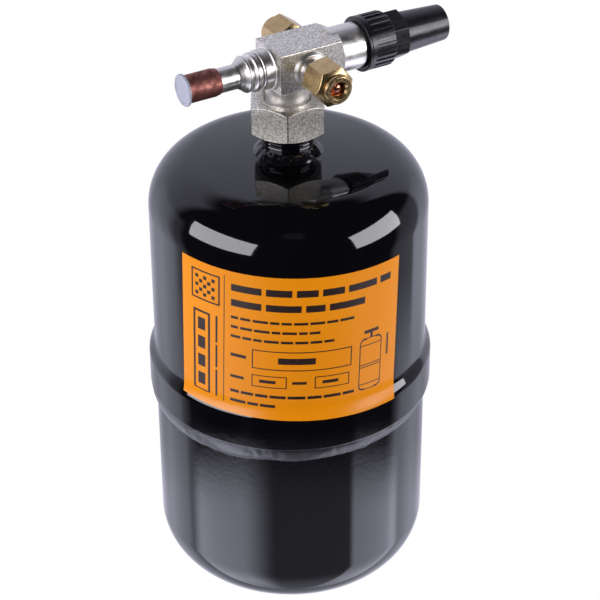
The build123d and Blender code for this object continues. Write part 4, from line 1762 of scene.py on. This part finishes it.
@dataclass
class Label:
    """Orange label on the upper cup, with plain printed fields."""

    tank: Tank
    arc_w: float = 104.3
    height: float = 71.4
    middle: float = 153.9
    facing: float = -30.0
    tilt: float = 1.9
    lift: float = 0.06
    thickness: float = 0.13
    ink: float = 0.03
    seed: int = 7

    def spot(self, across: float, up: float, proud: float) -> Vector:
        """Point of the label on the curved cup.

        Args:
            across: Distance to the right of the label's middle.
            up: Distance above it.
            proud: Distance off the paint.

        Returns:
            The point in the row's millimetres.
        """
        turn = math.radians(self.tilt)
        along = across * math.cos(turn) + up * math.sin(turn)
        height = self.middle - across * math.sin(turn) + up * math.cos(turn)
        angle = math.radians(self.facing - 90) + along / self.tank.surface(height)
        reach = self.tank.surface(height) + proud
        return Vector((reach * math.cos(angle), reach * math.sin(angle), height))

    def patch(self, shape: Shape, box: tuple[float, float, float, float], low: float, high: float) -> None:
        """Add a thin closed sheet that follows the cup.

        Args:
            shape: Mesh that takes the sheet.
            box: Left, bottom, right and top in label millimetres.
            low: Distance of its back off the paint.
            high: Distance of its front off the paint.
        """
        left, bottom, right, top = box
        columns = max(1, math.ceil((right - left) / 1.2))
        rows = max(1, math.ceil((top - bottom) / 2.4))
        rings = []
        for column in range(columns + 1):
            across = left + (right - left) * column / columns
            front = [self.spot(across, bottom + (top - bottom) * r / rows, high) for r in range(rows + 1)]
            back = [self.spot(across, bottom + (top - bottom) * r / rows, low) for r in range(rows, -1, -1)]
            rings.append(front + back)
        shape.skin(rings)
        for ring in (rings[0], rings[-1]):
            half = len(ring) // 2
            verts = [shape.mesh.verts.new(shape.place @ point) for point in ring]
            for index in range(half - 1):
                shape.mesh.faces.new(
                    (verts[index], verts[index + 1], verts[-index - 2], verts[-index - 1])
                )

    def sheet(self) -> None:
        """Make the paper."""
        shape = Shape("label_sheet")
        half_w = self.arc_w / 2
        half_h = self.height / 2
        self.patch(shape, (-half_w, -half_h, half_w, half_h), self.lift, self.lift + self.thickness)
        shape.finished(PAPER, Body.TANK, ["label"])

    def frame_box(self, shape: Shape, box: tuple[float, float, float, float], line: float) -> None:
        """Add the four lines of a rectangle."""
        left, bottom, right, top = box
        self.print(shape, (left, bottom, right, bottom + line))
        self.print(shape, (left, top - line, right, top))
        self.print(shape, (left, bottom + line, left + line, top - line))
        self.print(shape, (right - line, bottom + line, right, top - line))

    def print(self, shape: Shape, box: tuple[float, float, float, float]) -> None:
        """Add one printed field on top of the paper."""
        low = self.lift + self.thickness - 0.01
        self.patch(shape, box, low, low + self.ink)

    def rule_of_bars(self, shape: Shape, left: float, right: float, up: float, tall: float, gap: float) -> None:
        """Add a row of plain bars that fills the place of a text line.

        Args:
            shape: Mesh that takes the bars.
            left: Left end.
            right: Right end.
            up: Height of the row's middle.
            tall: Height of the bars.
            gap: Space between bars.
        """
        lengths = random.Random(self.seed + int(10 * up))
        at = left
        while at < right - 1.5 * tall:
            long = min(right - at, tall * lengths.uniform(2.4, 5.2))
            self.print(shape, (at, up - tall / 2, at + long, up + tall / 2))
            at += long + gap

    def printing(self) -> None:
        """Make the printed fields: divider, rows of bars, boxes and a tank outline."""
        shape = Shape("label_printing")
        self.print(shape, (-29.6, -33.0, -29.2, 33.0))
        self.rule_of_bars(shape, -26.2, 47.0, 28.0, 3.4, 1.9)
        self.rule_of_bars(shape, -26.2, 40.0, 20.4, 3.4, 1.9)
        for up, right in ((13.0, 30.0), (8.2, 14.0), (3.4, 20.0)):
            self.rule_of_bars(shape, -26.2, right, up, 1.3, 0.9)
        self.frame_box(shape, (-16.4, -11.2, 27.7, -1.4), 0.5)
        self.rule_of_bars(shape, -5.0, 17.5, -6.3, 3.2, 1.4)
        self.rule_of_bars(shape, -26.2, -19.0, -6.3, 1.6, 0.9)
        for left, right in ((-16.4, -1.0), (11.2, 26.9)):
            self.frame_box(shape, (left, -20.6, right, -14.4), 0.45)
            self.rule_of_bars(shape, left + 3.4, right - 2.4, -17.5, 1.6, 0.8)
        self.rule_of_bars(shape, -26.2, -19.5, -17.5, 1.4, 0.8)
        self.rule_of_bars(shape, 1.4, 9.0, -17.5, 1.4, 0.8)
        self.rule_of_bars(shape, -26.2, 29.5, -25.2, 1.5, 0.9)
        self.rule_of_bars(shape, -26.2, -5.0, -30.2, 1.5, 0.9)
        self.column(shape)
        self.outline(shape)
        shape.finished(INK, Body.TANK)

    def column(self, shape: Shape) -> None:
        """Fill the left column with a plain checked square and upright bars."""
        self.frame_box(shape, (-46.5, 16.5, -31.5, 31.5), 0.8)
        cell = 15.0 / 7
        for row in range(1, 6):
            for place in range(1, 6):
                if (row + place) % 2 == 0:
                    left = -46.5 + place * cell
                    low = 16.5 + row * cell
                    self.print(shape, (left, low, left + cell * 0.82, low + cell * 0.82))
        self.frame_box(shape, (-45.6, -31.5, -36.4, 11.0), 1.1)
        for low in (-27.8, -18.2, -8.6, 1.0):
            self.print(shape, (-43.0, low, -39.0, low + 6.2))
        for low, high in ((-31.5, -17.0), (-15.8, -4.0), (-2.8, 11.0)):
            self.print(shape, (-33.6, low, -32.6, high))

    def outline(self, shape: Shape) -> None:
        """Add the small outline drawing of an upright tank."""
        left, right, low, high = 31.6, 43.2, -23.5, -3.0
        line = 0.45
        self.print(shape, (left, low, left + line, high))
        self.print(shape, (right - line, low, right, high))
        for up in (low, -14.6, -13.4, high - line):
            self.print(shape, (left, up, right, up + line))
        steps = 6
        for step in range(steps):
            share = step / steps
            inset = 3.4 * (1 - math.sqrt(1 - share**2))
            ahead = 3.4 * (1 - math.sqrt(1 - ((step + 1) / steps) ** 2))
            rise = high + 3.0 * share
            drop = low - 2.4 * share
            reach = max(line, ahead - inset)
            self.print(shape, (left + inset, rise, left + inset + reach, rise + 0.5 + line))
            self.print(shape, (right - inset - reach, rise, right - inset, rise + 0.5 + line))
            self.print(shape, (left + inset, drop - 0.4 - line, left + inset + reach, drop))
            self.print(shape, (right - inset - reach, drop - 0.4 - line, right - inset, drop))
        self.print(shape, (left + 3.0, high + 3.0, right - 3.0, high + 3.0 + line))
        self.print(shape, (left + 3.0, low - 2.4 - line, right - 3.0, low - 2.4))
        self.print(shape, (36.8, high + 3.4, 38.0, high + 5.8))
        self.print(shape, (33.6, high + 5.8, 41.2, high + 7.4))
        self.print(shape, (46.2, -12.0, 47.2, -1.0))

    def build(self) -> None:
        """Make the sheet and its printing."""
        self.sheet()
        self.printing()


@dataclass
class Inner:
    """CAD nodes that stay as they are and only get their finish."""

    finishes: dict[str, Finish] = field(
        default_factory=lambda: {
            "dip_tube": TURNED_UPRIGHT,
            "neck_gasket": SEAL,
            "packing_washer": TURNED,
            "gland_packing": SEAL,
            "gland_nut": BRASS,
            "cap_gasket": SEAL,
            "stem": TURNED,
            "valve_disc": TURNED,
        }
    )

    def build(self) -> None:
        """Dress the nodes."""
        for name, finish in self.finishes.items():
            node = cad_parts[name]
            for slot in node.material_slots:
                slot.material = finish.material()
            LOG.info("%s keeps its form and is dressed in %s", name, finish.name)


@dataclass(frozen=True)
class Panel:
    """Bright or dark field of the surroundings, in degrees round and above the object.

    The azimuth counts from the camera's side, to the left as positive.
    """

    azimuth: tuple[float, float]
    height: tuple[float, float]
    level: float
    soft_azimuth: tuple[float, float] = (8.0, 8.0)
    soft_height: tuple[float, float] = (8.0, 8.0)


PANELS = (
    Panel((-181, 181), (-35.8, 91), 0.03),
    Panel((105, 181), (-33, 52), 0.86, (14, 0.1), (3, 14)),
    Panel((-181, -124), (-33, 52), 0.86, (0.1, 6), (3, 14)),
    Panel((-15, 6), (42, 54), 0.12, (6, 6), (5, 5)),
    Panel((-181, 181), (-91, -36.9), 0.36, (0.1, 0.1), (0.1, 2)),
    Panel((-181, 181), (-91, -56), 0.45, (0.1, 0.1), (0.1, 22)),
    Panel((-105, -55), (-74, -37), 2.4, (12, 7), (34, 2)),
    Panel((30, 92), (-74, -37), 3.0, (34, 14), (34, 2)),
    Panel((92, 135), (-50, 12), 0.42, (10, 20), (10, 10)),
    Panel((-135, -94), (-50, 12), 0.42, (20, 10), (10, 10)),
    Panel((100, 181), (-62, -33), 0.7, (10, 0.1), (24, 3)),
    Panel((-181, -100), (-62, -33), 0.7, (0.1, 10), (24, 3)),
)


@dataclass(frozen=True)
class Softbox:
    """Rectangular lamp that stands round the object."""

    name: str
    azimuth: float
    height: float
    distance: float
    size: Point
    power: float


@dataclass
class Studio:
    """Pale floor, soft lights, the room round them and the camera."""

    heading: float = 30.327
    pitch: float = 32.45
    roll: float = -0.397
    eye: tuple[float, float, float] = (-414.6, -718.2, 666.85)
    lens: float = 129.357
    sensor: float = 36.0
    room_tint: Corner = (0.82, 0.82, 1.0)
    lamp_tint: Corner = (0.95, 0.94, 1.0)
    softboxes: tuple[Softbox, ...] = (
        Softbox("left_softbox", 55.0, 17.0, 1.2, (1.24, 0.56), 18.0),
        Softbox("right_softbox", -74.0, 15.0, 1.2, (0.98, 0.58), 15.5),
    )

    def camera(self) -> None:
        """Place the camera at the photograph's angle."""
        heading = math.radians(self.heading)
        pitch = math.radians(self.pitch)
        roll = math.radians(self.roll)
        level = Vector((math.cos(heading), -math.sin(heading), 0))
        ahead = Vector(
            (
                math.sin(heading) * math.cos(pitch),
                math.cos(heading) * math.cos(pitch),
                -math.sin(pitch),
            )
        )
        upright = level.cross(ahead)
        right = level * math.cos(roll) + upright * math.sin(roll)
        up = upright * math.cos(roll) - level * math.sin(roll)
        turn = Matrix((right, up, -ahead)).transposed().to_4x4()
        data = bpy.data.cameras.new("camera")
        data.lens = self.lens
        data.sensor_width = self.sensor
        data.clip_start = 0.01
        camera = bpy.data.objects.new("camera", data)
        camera.matrix_world = Matrix.Translation(Vector(self.eye) * MM) @ turn
        bpy.context.scene.collection.objects.link(camera)
        bpy.context.scene.camera = camera

    def floor(self) -> None:
        """Lay the pale floor: white to the camera, while the room's levels light the object."""
        mesh = bpy.data.meshes.new("floor")
        reach = 6.0
        corners = [(-reach, -reach, 0), (reach, -reach, 0), (reach, reach, 0), (-reach, reach, 0)]
        mesh.from_pydata(corners, [], [(0, 1, 2, 3)])
        material = bpy.data.materials.new("pale_floor")
        material.use_nodes = True
        tree = material.node_tree
        tree.nodes.clear()
        output = tree.nodes.new("ShaderNodeOutputMaterial")
        diffuse = tree.nodes.new("ShaderNodeBsdfTransparent")
        glow = tree.nodes.new("ShaderNodeEmission")
        glow.inputs["Strength"].default_value = 1.0
        path = tree.nodes.new("ShaderNodeLightPath")
        seen = tree.nodes.new("ShaderNodeMath")
        seen.operation = "MAXIMUM"
        mix = tree.nodes.new("ShaderNodeMixShader")
        tree.links.new(path.outputs["Is Camera Ray"], seen.inputs[0])
        tree.links.new(path.outputs["Is Transmission Ray"], seen.inputs[1])
        tree.links.new(seen.outputs[0], mix.inputs[0])
        tree.links.new(diffuse.outputs[0], mix.inputs[1])
        tree.links.new(glow.outputs[0], mix.inputs[2])
        tree.links.new(mix.outputs[0], output.inputs[0])
        mesh.materials.append(material)
        floor = bpy.data.objects.new("floor", mesh)
        bpy.context.scene.collection.objects.link(floor)

    def world(self) -> None:
        """Set the room that polished faces mirror, and plain white for the camera itself."""
        world = bpy.data.worlds.new("studio")
        bpy.context.scene.world = world
        world.use_nodes = True
        tree = world.node_tree
        tree.nodes.clear()

        def math_node(operation: str, first: Any, second: Any = 0.0) -> Any:
            """Combine two values, each a socket or a number, and return the result socket."""
            node = tree.nodes.new("ShaderNodeMath")
            node.operation = operation
            for socket, value in zip(node.inputs, (first, second)):
                if isinstance(value, bpy.types.NodeSocket):
                    tree.links.new(value, socket)
                else:
                    socket.default_value = value
            return node.outputs[0]

        def gate(value: Any, middle: float, soft: float, rising: bool) -> Any:
            """Soft step of a value, up or down, centred on its middle."""
            node = tree.nodes.new("ShaderNodeMapRange")
            node.interpolation_type = "SMOOTHSTEP"
            tree.links.new(value, node.inputs["Value"])
            node.inputs["From Min"].default_value = middle - soft / 2
            node.inputs["From Max"].default_value = middle + soft / 2
            node.inputs["To Min"].default_value = 0.0 if rising else 1.0
            node.inputs["To Max"].default_value = 1.0 if rising else 0.0
            return node.outputs["Result"]

        way = tree.nodes.new("ShaderNodeTexCoord").outputs["Generated"]
        parts = tree.nodes.new("ShaderNodeSeparateXYZ")
        tree.links.new(way, parts.inputs[0])
        heading = math.radians(self.heading)
        x_axis, y_axis = parts.outputs[0], parts.outputs[1]
        ahead = math_node("MULTIPLY", x_axis, -math.sin(heading))
        ahead = math_node("SUBTRACT", ahead, math_node("MULTIPLY", y_axis, math.cos(heading)))
        left = math_node("MULTIPLY", x_axis, -math.cos(heading))
        left = math_node("ADD", left, math_node("MULTIPLY", y_axis, math.sin(heading)))
        azimuth = math_node("DEGREES", math_node("ARCTAN2", left, ahead))
        height = math_node("DEGREES", math_node("ARCSINE", parts.outputs[2]))
        total: Any = 0.0
        for panel in PANELS:
            share = gate(azimuth, panel.azimuth[0], panel.soft_azimuth[0], True)
            share = math_node("MULTIPLY", share, gate(azimuth, panel.azimuth[1], panel.soft_azimuth[1], False))
            share = math_node("MULTIPLY", share, gate(height, panel.height[0], panel.soft_height[0], True))
            share = math_node("MULTIPLY", share, gate(height, panel.height[1], panel.soft_height[1], False))
            total = math_node("ADD", total, math_node("MULTIPLY", share, panel.level))
        output = tree.nodes.new("ShaderNodeOutputWorld")
        back = tree.nodes.new("ShaderNodeBackground")
        path = tree.nodes.new("ShaderNodeLightPath")
        level = tree.nodes.new("ShaderNodeMix")
        level.data_type = "FLOAT"
        level.inputs["B"].default_value = 1.0
        tint = tree.nodes.new("ShaderNodeMix")
        tint.data_type = "RGBA"
        tint.inputs["A"].default_value = (*self.room_tint, 1.0)
        tint.inputs["B"].default_value = (1.0, 1.0, 1.0, 1.0)
        tree.links.new(total, level.inputs["A"])
        seen = math_node("MAXIMUM", path.outputs["Is Camera Ray"], path.outputs["Is Transmission Ray"])
        tree.links.new(seen, level.inputs["Factor"])
        tree.links.new(seen, tint.inputs["Factor"])
        tree.links.new(tint.outputs["Result"], back.inputs["Color"])
        tree.links.new(level.outputs["Result"], back.inputs["Strength"])
        tree.links.new(back.outputs[0], output.inputs[0])

    def lamp(self, softbox: Softbox) -> None:
        """Stand a softbox in its place, turned to the object."""
        data = bpy.data.lights.new(softbox.name, "AREA")
        data.shape = "RECTANGLE"
        data.size = softbox.size[0]
        data.size_y = softbox.size[1]
        data.energy = softbox.power
        data.color = self.lamp_tint
        lamp = bpy.data.objects.new(softbox.name, data)
        middle = Vector((0, 0, 0.15))
        heading = math.radians(self.heading)
        turn = math.radians(softbox.azimuth)
        ahead = Vector((-math.sin(heading), -math.cos(heading), 0))
        left = Vector((-math.cos(heading), math.sin(heading), 0))
        level = math.radians(softbox.height)
        way = (ahead * math.cos(turn) + left * math.sin(turn)) * math.cos(level)
        way.z = math.sin(level)
        aim = (-way).to_track_quat("-Z", "Y").to_matrix().to_4x4()
        lamp.matrix_world = Matrix.Translation(middle + way * softbox.distance) @ aim
        bpy.context.scene.collection.objects.link(lamp)

    def build(self) -> None:
        """Set the stage."""
        scene = bpy.context.scene
        scene.view_settings.view_transform = "Standard"
        self.camera()
        self.floor()
        self.world()
        for softbox in self.softboxes:
            self.lamp(softbox)


def main() -> None:
    """Build every sub-assembly in order, then the studio."""
    logging.basicConfig(level=logging.INFO, format="%(message)s")
    tank = Tank()
    tank.build()
    Fittings(tank).build()
    Label(tank).build()
    UnionJoint().build()
    ValveBody().build()
    Outlet().build()
    SpindleCap().build()
    FlarePort(Side.FRONT, 5.3, Body.FRONT_NUT, Body.FRONT_BONNET).build()
    FlarePort(Side.REAR, 11.5, Body.REAR_NUT, Body.REAR_BONNET, 2.5, -25.0).build()
    Inner().build()
    Studio().build()
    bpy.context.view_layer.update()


if __name__ == "__main__":
    main()
